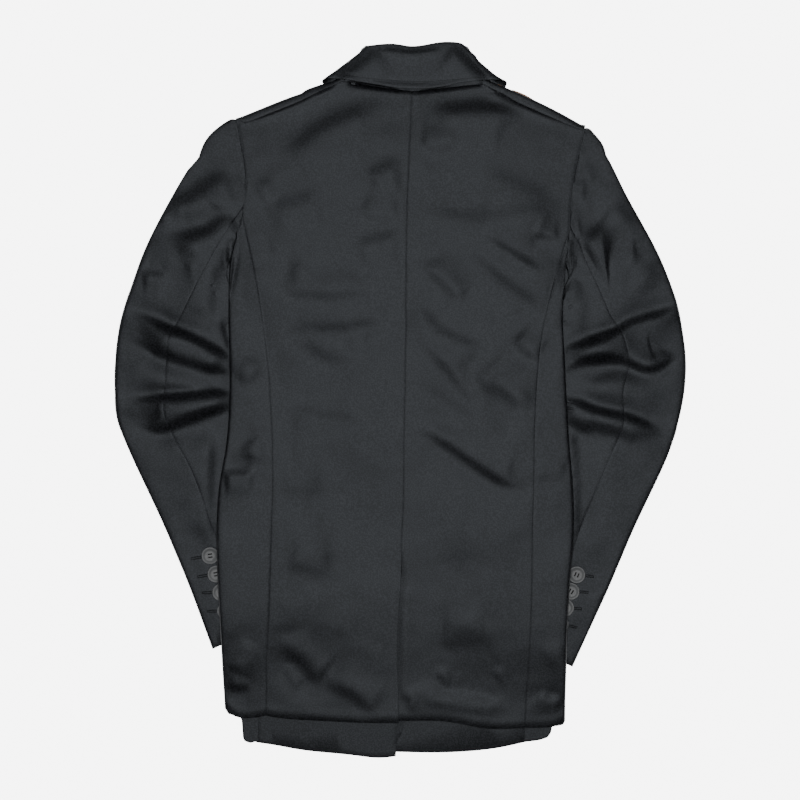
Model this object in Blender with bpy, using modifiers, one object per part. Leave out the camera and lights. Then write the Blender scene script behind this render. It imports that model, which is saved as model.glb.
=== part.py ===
"""A women's suit jacket, laid out flat on its front, so that its back is on top.

The tables are in millimetres: x to the wearer's right, y to the collar, z up from the surface that
the jacket lies on, with the origin under the middle of its outline. Each panel is a grid between
seam lines that it shares, point for point, with its neighbours, and gets its wall from Solidify.
"""
import bmesh
import bpy
import numpy as np
from math import cos, hypot, pi

MM = 0.001

# Cloth and layers
CLOTH = 1.2              # wall of every panel
SEAM_GAP = 0.3           # between two panels at a seam
ARMHOLE_GAP = 1.1        # the same at the sleeves' side of the armholes
LAYER_GAP = 0.6          # between a panel and the one that lies on it
BACK_TOP = 6.0           # upper face of the back, where no sleeve is under it
SLEEVE_TOP = 5.6         # upper face of a sleeve beside the body
PRESSED_TOP = 3.4        # upper face of a sleeve where the body lies on it
SLEEVE_LIFT = PRESSED_TOP + LAYER_GAP
UNDERARM_RAMP = 18.0     # below the underarm, how soon the body lies wholly on the sleeve
ROLL = 4.0               # how far a rounded side fold reaches inwards
SMALL_ROLL = 3.0         # the same for the shoulders' folds and the sleeves' inner folds
ROLL_STEPS = 4

# Buttons
CUFF_BUTTON = {"radius": 9.6, "thickness": 2.0}
FRONT_BUTTON = {"radius": 11.5, "thickness": 1.8, "x": -17.5, "y": -23.0}
FRONT_BUTTON_SHOWS = 0.6 # share of its thickness that shows through the back
BUTTON_SIDES = 20

# Rows and columns of the grids
BODY_ROWS = 24           # from the hem to where the side seams meet the armholes
YOKE_ROWS = 6            # from there to the shoulder
YOKE_Y = 205.0           # how high that is on the centre seam
HIND_STEPS = 5           # armhole, shoulder to the sleeve's hind seam
BETWEEN_STEPS = 1        # hind seam to the back's side seam
UNDERARM_STEPS = 3       # back's side seam to the underarm
FRONT_ARM_STEPS = 5      # armhole, shoulder to the front's side seam
FOREARM_STEPS = 1        # front's side seam to the sleeve's forearm seam
FRONT_UNDERARM_STEPS = 1
CAP_GRIP = 12            # how soon a sleeve's grid lets go of the armhole's form
SHOULDER_STEPS = 7
NECK_STEPS = 4
SLEEVE_ROWS = (0, 0.5, 1, 1.5, 2, 2.5, 3, 3.4, 3.8, 4.2, 4.6, 5, 5.4, 5.8, 6.2, 6.6, 7, 7.4, 7.8,
               8.2, 8.6, 9, 9.5, 10, 10.4, 10.8, 11.2, 11.6, 12)


def table(columns, *rows):
    """A list of rows with named columns."""
    names = columns.split()
    return [dict(zip(names, row)) for row in rows]


# Seams of the body at each height: side folds, the back's side seams and its centre seam
BODY = table(
    "y     side_left princess_left centre princess_right side_right",
    (-350, -199.0, -152.5, -2.0, 144.0, 188.5),
    (-300, -202.0, -151.0, -3.0, 146.5, 189.5),
    (-250, -204.5, -149.0, -2.5, 148.5, 190.5),
    (-200, -207.0, -147.5, 1.0, 149.5, 193.5),
    (-150, -208.0, -146.0, 2.0, 150.5, 197.5),
    (-100, -205.5, -144.5, 4.0, 151.5, 196.5),
    (-50, -197.0, -144.5, 4.5, 152.0, 192.0),
    (0, -193.5, -146.5, 5.5, 153.5, 189.0),
    (50, -193.5, -150.0, 6.0, 157.0, 186.5),
    (100, -194.5, -156.0, 6.5, 164.0, 184.0),
    (150, -193.5, -164.0, 7.0, 176.5, 187.5),
    (200, -193.0, -176.0, 8.0, 191.5, 189.0),
    (350, -193.0, -193.0, 13.5, 200.0, 189.0),
)

# Seams of the fronts at each height: their side seams, and their edges, which become the lapels' folds
FRONTS = table(
    "y     seam_left edge_left edge_right seam_right",
    (-405, -161.5, -2.0, -38.0, 141.5),
    (-300, -159.0, 4.0, -38.5, 143.0),
    (-150, -154.0, 5.0, -38.5, 146.5),
    (-60, -151.0, 5.0, -38.0, 149.0),
    (0, -150.5, -17.0, -17.0, 150.0),
    (80, -152.5, -27.0, -1.0, 151.0),
    (200, -157.0, -44.0, 46.0, 153.5),
    (290, -157.0, -55.0, 82.0, 153.5),
    (330, -157.0, -61.0, 92.0, 153.5),
    (370, -157.0, -64.0, 94.5, 153.5),
)

# Armholes from the shoulder to the underarm, and the rows where other seams meet them
ARMHOLE_BACK_LEFT = table(
    "x y", (-185.5, 312.0), (-181.0, 291.0), (-177.0, 267.5), (-175.5, 248.0), (-179.0, 218.5),
    (-179.3, 209.5), (-185.0, 187.0), (-193.5, 157.0))
ARMHOLE_BACK_RIGHT = table(
    "x y", (209.8, 306.5), (205.5, 288.0), (200.4, 265.0), (194.4, 230.0), (193.3, 198.0),
    (191.5, 188.5), (190.5, 176.0), (188.0, 152.0))
ARMHOLE_FRONT_LEFT = table(
    "x y", (-185.5, 312.0), (-181.0, 290.0), (-177.0, 262.0), (-176.0, 236.0), (-178.0, 211.0),
    (-184.0, 185.0), (-193.5, 157.0))
ARMHOLE_FRONT_RIGHT = table(
    "x y", (209.8, 306.5), (204.0, 288.0), (196.0, 262.0), (188.0, 234.0), (182.0, 206.0),
    (180.0, 180.0), (188.0, 152.0))
HIND_JOIN, SIDE_JOIN = 4, 5              # rows of the back armholes
FRONT_JOIN, FOREARM_JOIN = 4, 5          # rows of the front armholes

# Shoulder seams, shoulder folds and the back of the neck
SHOULDER_SEAM_LEFT = table(
    "x y", (-185.5, 312.0), (-147.5, 328.0), (-115.5, 340.5), (-84.0, 355.0), (-63.0, 362.0))
SHOULDER_SEAM_RIGHT = table(
    "x y", (209.8, 306.5), (158.0, 329.5), (122.5, 345.0), (105.0, 353.0), (93.0, 358.5))
SHOULDER_FOLD_LEFT = table(
    "x y", (-187.0, 319.0), (-133.0, 341.0), (-98.0, 353.5), (-82.0, 360.0), (-64.0, 368.0))
SHOULDER_FOLD_RIGHT = table(
    "x y", (209.5, 311.0), (189.0, 322.5), (157.5, 338.5), (122.0, 354.0), (106.0, 360.0),
    (94.0, 366.0))
NECK = table("x y", (-63.0, 362.0), (-22.0, 355.5), (13.3, 350.5), (61.0, 355.5), (93.0, 358.5))
NECK_MIDDLE = 2                          # its row at the centre seam

# Hems
HEM_BACK_LEFT = table(
    "x y", (-152.5, -358.0), (-130.5, -361.5), (-90.5, -364.0), (-45.0, -366.0), (-1.5, -366.3))
HEM_BACK_RIGHT = table(
    "x y", (-38.0, -365.0), (17.5, -364.0), (41.5, -364.0), (67.5, -367.0), (89.5, -371.8),
    (113.5, -373.3), (142.5, -372.2))
HEM_SIDE_LEFT = table(
    "x y", (-198.9, -350.0), (-196.0, -356.2), (-181.0, -360.8), (-163.5, -360.6), (-152.5, -358.0))
HEM_SIDE_RIGHT = table(
    "x y", (187.6, -364.5), (184.0, -369.0), (173.0, -371.0), (156.0, -371.8), (142.5, -372.2))
HEM_UNDER_LEFT = table(
    "x y", (-198.9, -350.0), (-186.5, -355.5), (-179.5, -364.5), (-177.0, -378.0),
    (-172.5, -385.5), (-161.5, -389.3))
HEM_UNDER_RIGHT = table(
    "x y", (187.6, -364.5), (177.5, -368.5), (172.5, -375.0), (165.5, -382.5), (141.5, -388.7))
HEM_FRONT_LEFT = table(
    "x y", (-161.5, -389.3), (-130.5, -394.0), (-107.5, -398.2), (-62.0, -402.4), (-28.0, -406.4),
    (-8.5, -407.3), (-2.2, -404.5))
HEM_FRONT_RIGHT = table(
    "x y", (-38.0, -399.0), (0.5, -400.0), (40.5, -400.7), (63.5, -400.0), (86.0, -398.4),
    (109.0, -395.9), (141.5, -388.7))

# Vent: below its top the left half of the back laps over the right one
VENT = {"top": -166.0, "lap": 38.0, "rise": 2.4, "start": -200.0, "full": -236.0}

# Sleeves, a row for each section: outer fold, hind seam, inner fold and, underneath, forearm seam
SLEEVE_LEFT = table(
    "outer_x outer_y hind_x hind_y inner_x inner_y forearm_x forearm_y",
    (-185.5, 312.0, -179.0, 218.5, -193.5, 157.0, -184.0, 185.0),
    (-227, 281, -202, 183, -197, 142, -214, 160),
    (-258, 233, -222, 149, -190, 123, -214, 136),
    (-287, 178, -239, 116, -181, 95, -205, 110),
    (-304, 133, -248, 97, -168, 68, -192, 80),
    (-318, 88, -263, 68, -158, 36, -182, 48),
    (-324, 40, -266, 25, -151, 10, -176, 16),
    (-324, 5, -268, 4, -150, 1, -175, 2),
    (-320, -27, -265, -25, -148, -15, -173, -17),
    (-299, -77, -238, -77, -141, -66, -165, -68),
    (-273, -132, -218, -129, -128, -109, -152, -113),
    (-242, -205, -198, -192, -113, -169, -137, -174),
    (-213, -283, -178, -267, -99, -231, -123, -242),
)
SLEEVE_RIGHT = table(
    "outer_x outer_y hind_x hind_y inner_x inner_y forearm_x forearm_y",
    (209.8, 306.5, 193.3, 198.0, 188.0, 152.0, 180.0, 180.0),
    (234, 279, 206, 170, 191, 138, 206, 160),
    (257, 233, 219, 141, 181, 119, 204, 134),
    (286, 181, 232, 112, 170, 93, 194, 107),
    (303, 144, 241, 93, 160, 68, 184, 79),
    (316, 105, 253, 74, 152, 45, 176, 53),
    (324.1, 55, 260, 41, 147, 24, 172, 28),
    (323.3, 10, 253, 8, 145, 10, 170, 10),
    (313, -37, 254, -25, 142, -1, 167, -4),
    (299, -76, 240, -61, 139, -30, 163, -36),
    (268, -141, 213, -124, 127, -103, 150, -110),
    (238, -211, 190, -191, 105, -177, 129, -183),
    (196, -303, 160, -287, 81, -251, 105, -259),
)

# Collar, a row for each place round the neck: fold at its top, free edge, and which way it faces.
# face is 1 on the back of the neck, 0 at a side fold and -1 on the front, under the jacket.
COLLAR = table(
    "fold_x fold_y edge_x edge_y face",
    (-46.0, 296.0, -95.0, 288.0, -1),
    (-50.0, 345.0, -92.0, 325.0, -1),
    (-44.0, 385.0, -85.0, 352.0, -1),
    (-38.5, 400.5, -88.5, 362.0, 0),
    (-33.0, 402.5, -78.0, 365.0, 1),
    (-8.8, 404.5, -35.0, 361.0, 1),
    (15.7, 401.5, 15.7, 355.9, 1),
    (48.9, 406.4, 62.0, 359.5, 1),
    (71.0, 405.0, 110.0, 364.0, 1),
    (77.5, 400.5, 122.0, 361.0, 0),
    (82.0, 385.0, 119.0, 350.0, -1),
    (84.0, 345.0, 121.0, 324.0, -1),
    (72.0, 298.0, 124.0, 288.0, -1),
)
COLLAR_STEPS = 3         # columns between two of those rows
FALL_Z = 8.4             # upper face of the fall at the back of the neck
FALL_EDGE_Z = 7.9        # and along its free edge
RETURN = 9.0             # how far the fall turns in under its fold, to meet the stand

# Lapels, under the fronts: outer edge and fold line at each height
LAPEL_LEFT = table(
    "edge_x edge_y fold_x fold_y",
    (-22.0, 10.0, -18.5, 10.0),
    (-56.0, 79.0, -27.0, 80.0),
    (-89.0, 159.0, -37.5, 160.0),
    (-112.0, 232.0, -47.5, 228.0),
    (-96.0, 277.0, -54.5, 290.0),
)
LAPEL_RIGHT = table(
    "edge_x edge_y fold_x fold_y",
    (-11.0, 10.0, -14.5, 10.0),
    (40.0, 79.0, 0.0, 80.0),
    (96.0, 159.0, 27.5, 160.0),
    (134.0, 232.0, 58.0, 230.0),
    (124.0, 277.0, 81.0, 290.0),
)

# Lining where it shows past the right shoulder's fold, a row for each place along the fold
LINING = table(
    "inner_x inner_y outer_x outer_y",
    (127.5, 352.5, 128.3, 354.7),
    (135.0, 349.4, 136.2, 352.0),
    (144.0, 345.5, 145.2, 347.9),
    (153.0, 341.3, 153.6, 342.7),
)
LINING_Z = 2.4
LINING_WALL = 1.0

CUFF_BUTTONS_LEFT = table(
    "x y", (-215.5, -176.7), (-208.8, -197.6), (-203.3, -218.3), (-197.8, -239.2))
CUFF_BUTTONS_RIGHT = table(
    "x y", (200.6, -198.4), (194.1, -217.2), (187.9, -235.8), (181.6, -254.3))

# The largest folds: a line through three places, with its depth (below 0) or height, and half its width
FOLD_POINTS = 21
BODY_FOLDS = table(
    "x0 y0 x1 y1 x2 y2 height width",
    (-134, 284, -74, 307, -14, 335, -1.6, 20),
    (35, 335, 86, 337, 133, 329, -1.4, 16),
    (-150, 262, -90, 276, -30, 300, 1.8, 22),
    (40, 308, 95, 304, 150, 290, 1.8, 22),
    (23, 205, 52, 210, 84, 211, -1.0, 18),
    (95, 182, 120, 172, 144, 159, -1.3, 16),
    (-140, 121, -80, 119, -14, 121, -1.2, 18),
    (-124, 78, -70, 77, -9, 83, -1.0, 16),
    (-134, -12, -85, -10, -30, -12, -1.2, 22),
    (-134, -102, -85, -100, -30, -102, -1.0, 26),
    (23, 110, 78, 39, 111, -15, -1.2, 20),
    (46, 116, 96, 50, 134, -14, 1.8, 22),
    (62, -53, 103, -78, 144, -96, -1.9, 16),
    (60, -30, 100, -50, 144, -70, 2.2, 18),
    (-197, -82, -180, -82, -160, -78, -1.4, 12),
    (62, -178, 78, -180, 95, -178, -1.0, 16),
    (51, -271, 78, -274, 105, -271, -1.0, 18),
    (-140, -276, -96, -320, -20, -353, -1.4, 16),
    (-150, -300, -110, -338, -50, -356, 1.6, 14),
    (7, -331, 40, -325, 123, -337, -1.0, 14),
    (-120, -250, -70, -252, -20, -248, 1.4, 30),
    (40, -140, 90, -134, 140, -138, 1.6, 28),
)
LEFT_SLEEVE_FOLDS = table(
    "x0 y0 x1 y1 x2 y2 height width",
    (-243, 241, -212, 252, -183, 263, -1.6, 16),
    (-252, 216, -222, 222, -192, 226, 1.6, 15),
    (-243, 192, -220, 196, -194, 196, -2.2, 11),
    (-286, 158, -250, 166, -214, 172, 1.4, 14),
    (-306, 103, -257, 80, -196, 52, -2.6, 9),
    (-300, 87, -258, 66, -200, 44, 2.6, 8),
    (-312, 70, -262, 51, -194, 32, -2.2, 9),
    (-300, 36, -260, 26, -205, 20, 2.0, 11),
    (-308, 5, -255, 5, -193, 5, -2.2, 9),
    (-302, -10, -262, -12, -198, -3, 2.4, 8),
    (-312, -25, -265, -33, -196, -14, -2.2, 9),
    (-292, -62, -258, -58, -222, -48, 1.4, 14),
    (-204, -60, -212, -120, -212, -180, -1.4, 10),
)
RIGHT_SLEEVE_FOLDS = table(
    "x0 y0 x1 y1 x2 y2 height width",
    (206, 186, 226, 188, 245, 186, -2.2, 12),
    (212, 222, 230, 224, 250, 220, 1.6, 14),
    (205, 265, 218, 266, 232, 262, -1.2, 10),
    (244, 150, 262, 148, 282, 146, 1.4, 14),
    (307, 105, 250, 79, 190, 59, -2.6, 9),
    (298, 84, 250, 68, 193, 49, 2.6, 8),
    (314, 50, 262, 41, 190, 35, -2.2, 9),
    (306, 22, 258, 20, 200, 14, 2.0, 11),
    (192, -2, 247, -15, 300, -32, -2.2, 9),
    (197, -14, 235, -27, 284, -46, 2.4, 8),
    (190, -24, 222, -36, 262, -58, -1.8, 9),
    (208, -66, 232, -74, 262, -84, 1.4, 14),
    (206, -120, 204, -160, 196, -200, -1.2, 10),
)


# ---------------------------------------------------------------- curves and fields
def smooth_through(points, steps):
    """The curve through points, read at each value of steps, which count points from the first."""
    p = np.array(points, dtype=float)
    p = np.vstack([2 * p[0] - p[1], p, 2 * p[-1] - p[-2]])
    read = []
    for step in steps:
        k = min(int(step), len(p) - 4)
        t = step - k
        a, b, c, d = p[k], p[k + 1], p[k + 2], p[k + 3]
        read.append(0.5 * (2 * b + (c - a) * t + (2 * a - 5 * b + 4 * c - d) * t ** 2
                           + (3 * b - a - 3 * c + d) * t ** 3))
    return np.array(read)


def spaced_along(points, count):
    """count + 1 points at even distances along the curve through points."""
    dense = smooth_through(points, np.linspace(0, len(points) - 1, 24 * len(points)))
    length = np.concatenate([[0], np.cumsum(np.linalg.norm(np.diff(dense, axis=0), axis=1))])
    wanted = np.linspace(0, length[-1], count + 1)
    return np.column_stack([np.interp(wanted, length, dense[:, k]) for k in range(dense.shape[1])])


def places(rows):
    return [(row["x"], row["y"]) for row in rows]


def column(rows, name):
    """A function of y that reads one column of a table smoothly."""
    heights = [row["y"] for row in rows]
    values = [row[name] for row in rows]

    def read(y):
        step = np.interp(y, heights, range(len(heights)))
        return float(smooth_through([[value] for value in values], [step])[0, 0])
    return read


def ease(t):
    """0 below 0, 1 above 1 and smooth between."""
    t = min(max(t, 0.0), 1.0)
    return t * t * (3 - 2 * t)


def with_lines(folds):
    """Each fold of a table with the points along its line."""
    steps = np.linspace(0, 2, FOLD_POINTS)
    return [(fold, smooth_through([(fold["x0"], fold["y0"]), (fold["x1"], fold["y1"]),
                                   (fold["x2"], fold["y2"])], steps)) for fold in folds]


def fold_height(folds, x, y):
    """The height that folds add at one place. A fold is half as high at its two ends."""
    total = 0.0
    for fold, line in folds:
        gaps = np.hypot(line[:, 0] - x, line[:, 1] - y)
        near = int(np.argmin(gaps))
        if gaps[near] > 3 * fold["width"]:
            continue
        end = abs(near / (len(line) - 1) - 0.5) * 2
        total += fold["height"] * np.exp(-(gaps[near] / fold["width"]) ** 2) * (1 - 0.5 * end ** 3)
    return total


# ---------------------------------------------------------------- how high each layer lies
class Side:
    """The wearer's left (sign -1) or right (sign 1) half, with its own curves and fields."""

    def __init__(self, name, sign, sleeve, buttons, lapel, folds):
        self.name = name
        self.sign = sign
        self.sleeve = sleeve
        self.folds = with_lines(folds)
        self.buttons = buttons
        self.lapel = lapel
        self.fold_x = column(BODY, "side_" + name)
        cuff = sleeve[-1]
        self.cuff = (cuff["outer_x"], cuff["outer_y"], cuff["inner_x"], cuff["inner_y"])

    def inner_x(self, y):
        """Where the sleeve's inner fold is, under the body."""
        heights = [row["inner_y"] for row in self.sleeve][::-1]
        return float(np.interp(y, heights, [row["inner_x"] for row in self.sleeve][::-1]))

    def over_sleeve(self, x, y, margin=12.0, ramp=36.0):
        """1 where the sleeve lies under the body, fading to 0 past its inner fold and its cuff."""
        inside = self.sign * (x - self.inner_x(y))
        x0, y0, x1, y1 = self.cuff
        across = hypot(x1 - x0, y1 - y0)
        above_cuff = ((y - y0) * abs(x1 - x0) - (y1 - y0) * abs(x - x0)) / across
        underarm = self.sleeve[0]["inner_y"]
        return ease((min(inside, above_cuff) + margin + ramp) / ramp) * ease((underarm - y) / UNDERARM_RAMP)

    def over_buttons(self, x, y):
        """1 where the body covers the inner edge of the cuff's buttons."""
        middle = 0.5 * (self.buttons[0]["y"] + self.buttons[-1]["y"])
        reach = 0.5 * abs(self.buttons[0]["y"] - self.buttons[-1]["y"]) + 14
        inwards = self.sign * (self.fold_x(y) - x)
        return ease((reach + 40 - abs(y - middle)) / 40) * ease((60 - inwards) / 34)

    def body_lift(self, x, y):
        """How far the sleeve and its buttons lift the body."""
        covered = self.over_sleeve(x, y)
        if covered == 0:
            return 0.0
        return covered * (SLEEVE_LIFT + (CUFF_BUTTON["thickness"] + 0.4) * self.over_buttons(x, y))

    def over_lapel(self, x, y, margin=10.0, ramp=22.0):
        """1 over the lapel and the collar's front, fading to 0 past their outer edge."""
        rows = self.lapel + [{"edge_x": self.lapel[-1]["edge_x"], "edge_y": 400.0}]
        edge = float(np.interp(y, [row["edge_y"] for row in rows], [row["edge_x"] for row in rows]))
        return ease((self.sign * (edge - x) + margin + ramp) / ramp) * ease((y + 22) / 22)

    def sleeve_z(self, x, y):
        """Upper face of the sleeve, pressed flat where the body lies on it and under its buttons."""
        outside = self.sign * (x - self.fold_x(y))
        flat = 10 + 18 * ease((self.buttons[0]["y"] + 50 - y) / 40)
        pressed = ease((flat + 22 - outside) / 22) * ease((self.sleeve[0]["inner_y"] - y) / UNDERARM_RAMP)
        folds = fold_height(self.folds, x, y) * (1 - pressed)
        return SLEEVE_TOP + folds + (PRESSED_TOP - SLEEVE_TOP) * pressed


LEFT = Side("left", -1, SLEEVE_LEFT, CUFF_BUTTONS_LEFT, LAPEL_LEFT, LEFT_SLEEVE_FOLDS)
RIGHT = Side("right", 1, SLEEVE_RIGHT, CUFF_BUTTONS_RIGHT, LAPEL_RIGHT, RIGHT_SLEEVE_FOLDS)
BODY_LINES = with_lines(BODY_FOLDS)
centre_x = column(BODY, "centre")


def over_front_button(x, y):
    away = hypot(x - FRONT_BUTTON["x"], y - FRONT_BUTTON["y"])
    return ease((FRONT_BUTTON["radius"] + 52 - away) / 30)


def button_rise(x, y):
    return (FRONT_BUTTON["thickness"] + LAYER_GAP) * over_front_button(x, y)


def front_right_z(x, y):
    """Lower face of the right front, which rests on the surface."""
    lapel = (CLOTH + LAYER_GAP) * RIGHT.over_lapel(x, y)
    return max(lapel, button_rise(x, y)) + RIGHT.body_lift(x, y)


def front_left_z(x, y):
    """Lower face of the left front, which lies on the right one past the middle."""
    on_right = ease((x + 60) / 20) * ease((60 - y) / 60)
    lapel = LEFT.over_lapel(x, y)
    return (CLOTH + LAYER_GAP) * max(on_right, lapel) + button_rise(x, y) + LEFT.body_lift(x, y)


def body_z(x, y):
    """Upper face of the back and side panels."""
    lift = LEFT.body_lift(x, y) + RIGHT.body_lift(x, y)
    return BACK_TOP + lift + FRONT_BUTTON_SHOWS * button_rise(x, y) + fold_height(BODY_LINES, x, y)


def back_left_z(x, y):
    """The left half of the back, raised along the vent where it laps over the right half."""
    lap = ease((VENT["lap"] + 30 + (x - centre_x(y))) / 28)
    return body_z(x, y) + VENT["rise"] * lap * ease((VENT["top"] - y) / (VENT["top"] - VENT["start"]))


# ---------------------------------------------------------------- grids
def between(left, right, bottom, top, grip=1):
    """A grid inside four lines. left and right run up, bottom and top run from left to right.
    A higher grip keeps the form of the top line near the top."""
    rows, columns = len(left), len(bottom)
    grid = np.zeros((rows, columns, 2))
    for j in range(rows):
        v = (j / (rows - 1)) ** grip
        for i in range(columns):
            u = i / (columns - 1)
            corners = ((1 - u) * (1 - v) * bottom[0] + u * (1 - v) * bottom[-1]
                       + (1 - u) * v * top[0] + u * v * top[-1])
            grid[j, i] = (1 - v) * bottom[i] + v * top[i] + (1 - u) * left[j] + u * right[j] - corners
    return grid


def raised(grid, height):
    """The grid with a height above the surface for each point."""
    return np.array([[(x, y, height(x, y)) for x, y in row] for row in grid])


def rolled(upper, under, upper_z, under_z, roll=ROLL):
    """Two grids that share the fold line upper[:, -1] = under[:, 0], joined by a rounded fold."""
    rows = []
    for top_row, low_row in zip(upper, under):
        fold = top_row[-1]
        row = [(x, y, upper_z(x, y)) for x, y in top_row[:-1]]
        for step in range(ROLL_STEPS + 1):
            angle = pi * step / ROLL_STEPS
            inwards = top_row[-2] - fold if angle < pi / 2 else low_row[1] - fold
            inwards = inwards / np.linalg.norm(inwards)
            reach = roll * (1 - np.sin(angle))
            x, y = fold + inwards * reach
            high, low = upper_z(*(fold + inwards * roll)), under_z(*(fold + inwards * roll))
            row.append((x, y, (high + low) / 2 + (high - low) / 2 * cos(angle)))
        row += [(x, y, under_z(x, y)) for x, y in low_row[1:]]
        rows.append(row)
    return np.array(rows)


def open_seams(points, sides, gap=SEAM_GAP):
    """Move the named sides of a grid in by half the gap at a seam."""
    points = points.copy()
    ends = {"first_column": (np.s_[:, 0], np.s_[:, 1]), "last_column": (np.s_[:, -1], np.s_[:, -2]),
            "first_row": (np.s_[0], np.s_[1]), "last_row": (np.s_[-1], np.s_[-2])}
    for side in sides:
        edge, inner = ends[side]
        step = points[inner] - points[edge]
        points[edge] += step / np.linalg.norm(step, axis=-1, keepdims=True) * gap / 2
    return points


def open_sleeve(points):
    """The same at a sleeve's long seams, and a little more at the armhole."""
    points = open_seams(points, ("first_column", "last_column"))
    return open_seams(points, ("last_row",), ARMHOLE_GAP)


# ---------------------------------------------------------------- scene objects
def clear_scene():
    for old in list(bpy.data.objects):
        bpy.data.objects.remove(old, do_unlink=True)


def make_material(name, colour, roughness, sheen=0.0):
    material = bpy.data.materials.new(name)
    material.use_nodes = True
    shader = material.node_tree.nodes["Principled BSDF"]
    shader.inputs["Base Color"].default_value = (*colour, 1)
    shader.inputs["Roughness"].default_value = roughness
    shader.inputs["Metallic"].default_value = 0.0
    shader.inputs["Sheen Weight"].default_value = sheen
    return material


def add_panel(name, points, material, thickness=CLOTH):
    """A grid of points in millimetres as an open sheet, given its wall on the side behind its face."""
    rows, columns = points.shape[:2]
    mesh = bpy.data.meshes.new(name)
    grid = bmesh.new()
    bmesh.ops.create_grid(grid, x_segments=columns - 1, y_segments=rows - 1, size=1)
    for vertex in grid.verts:
        i = round((vertex.co.x + 1) / 2 * (columns - 1))
        j = round((vertex.co.y + 1) / 2 * (rows - 1))
        vertex.co = points[j, i] * MM
    grid.to_mesh(mesh)
    grid.free()
    mesh.shade_smooth()
    panel = bpy.data.objects.new(name, mesh)
    jacket.objects.link(panel)
    panel.data.materials.append(material)
    wall = panel.modifiers.new("wall", "SOLIDIFY")
    wall.thickness = thickness * MM
    wall.offset = -1
    return panel


def add_button(name, place, z, size, material):
    """A disc with a rounded rim, lying with its lower face at z."""
    bpy.ops.mesh.primitive_cylinder_add(vertices=BUTTON_SIDES, radius=size["radius"] * MM,
                                        depth=size["thickness"] * MM,
                                        location=(place[0] * MM, place[1] * MM, (z + size["thickness"] / 2) * MM))
    button = bpy.context.object
    button.name = name
    button.data.name = name
    for collection in list(button.users_collection):
        collection.objects.unlink(button)
    jacket.objects.link(button)
    button.data.materials.append(material)
    button.data.shade_smooth()
    button.data.set_sharp_from_angle(angle=pi / 4)
    return button


# ---------------------------------------------------------------- shared seams
def rising(read, low, high, count):
    """count + 1 points up a seam x = read(y)."""
    return [(read(y), y) for y in np.linspace(low, high, count + 1)]


def armhole_parts(back, front):
    """The armhole's back and front lines in parts that end at the seams that meet it."""
    back, front = places(back), places(front)
    return {
        "hind": spaced_along(back[:HIND_JOIN + 1], HIND_STEPS),
        "side": spaced_along(back[HIND_JOIN:SIDE_JOIN + 1], BETWEEN_STEPS),
        "underarm": spaced_along(back[SIDE_JOIN:], UNDERARM_STEPS),
        "front": spaced_along(front[:FRONT_JOIN + 1], FRONT_ARM_STEPS),
        "forearm": spaced_along(front[FRONT_JOIN:FOREARM_JOIN + 1], FOREARM_STEPS),
        "front_underarm": spaced_along(front[FOREARM_JOIN:], FRONT_UNDERARM_STEPS),
    }


ARMHOLES = {"left": armhole_parts(ARMHOLE_BACK_LEFT, ARMHOLE_FRONT_LEFT),
            "right": armhole_parts(ARMHOLE_BACK_RIGHT, ARMHOLE_FRONT_RIGHT)}


def chain(*parts):
    """Lines joined end to end, without repeating the shared points."""
    joined = list(parts[0])
    for part in parts[1:]:
        joined += list(part[1:])
    return np.array(joined)


def body_seam(rows, name, hem, top):
    """A seam of the body from its hem to where it meets an armhole, ending exactly on both."""
    seam = np.array(rising(column(rows, name), hem[1], top[1], BODY_ROWS))
    return pinned(seam, hem, top)


def pinned(line, first, last):
    """The line, moved a little more towards each end so that it starts and stops where it should."""
    t = np.linspace(0, 1, len(line))[:, None]
    return line + (np.array(first) - line[0]) * (1 - t) ** 4 + (np.array(last) - line[-1]) * t ** 4


SHOULDER_SEAMS = {"left": spaced_along(places(SHOULDER_SEAM_LEFT), SHOULDER_STEPS),
                  "right": spaced_along(places(SHOULDER_SEAM_RIGHT), SHOULDER_STEPS)}
SHOULDER_FOLDS = {"left": spaced_along(places(SHOULDER_FOLD_LEFT), SHOULDER_STEPS),
                  "right": spaced_along(places(SHOULDER_FOLD_RIGHT), SHOULDER_STEPS)}
NECK_LINES = {"left": spaced_along(places(NECK)[:NECK_MIDDLE + 1], NECK_STEPS),
              "right": spaced_along(places(NECK)[NECK_MIDDLE:], NECK_STEPS)}
SIDE_HEMS = {"left": places(HEM_SIDE_LEFT), "right": places(HEM_SIDE_RIGHT)}
UNDER_HEMS = {"left": places(HEM_UNDER_LEFT), "right": places(HEM_UNDER_RIGHT)}
FRONT_HEMS = {"left": places(HEM_FRONT_LEFT), "right": places(HEM_FRONT_RIGHT)[::-1]}
PRINCESS = {name: body_seam(BODY, "princess_" + name, SIDE_HEMS[name][-1], arm["underarm"][0])
            for name, arm in ARMHOLES.items()}
SIDE_FOLDS = {name: body_seam(BODY, "side_" + name, SIDE_HEMS[name][0], arm["underarm"][-1])
              for name, arm in ARMHOLES.items()}
FRONT_SEAMS = {name: body_seam(FRONTS, "seam_" + name, FRONT_HEMS[name][0], arm["front"][-1])
               for name, arm in ARMHOLES.items()}


def centre_seam():
    """The middle of the back, from the hem past the height of the side seams' ends to the neck."""
    hem, neck = places(HEM_BACK_LEFT)[-1], places(NECK)[NECK_MIDDLE]
    lower = rising(centre_x, hem[1], YOKE_Y, BODY_ROWS)
    upper = rising(centre_x, YOKE_Y, neck[1], YOKE_ROWS)
    return pinned(chain(lower, upper), hem, neck)


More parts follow.
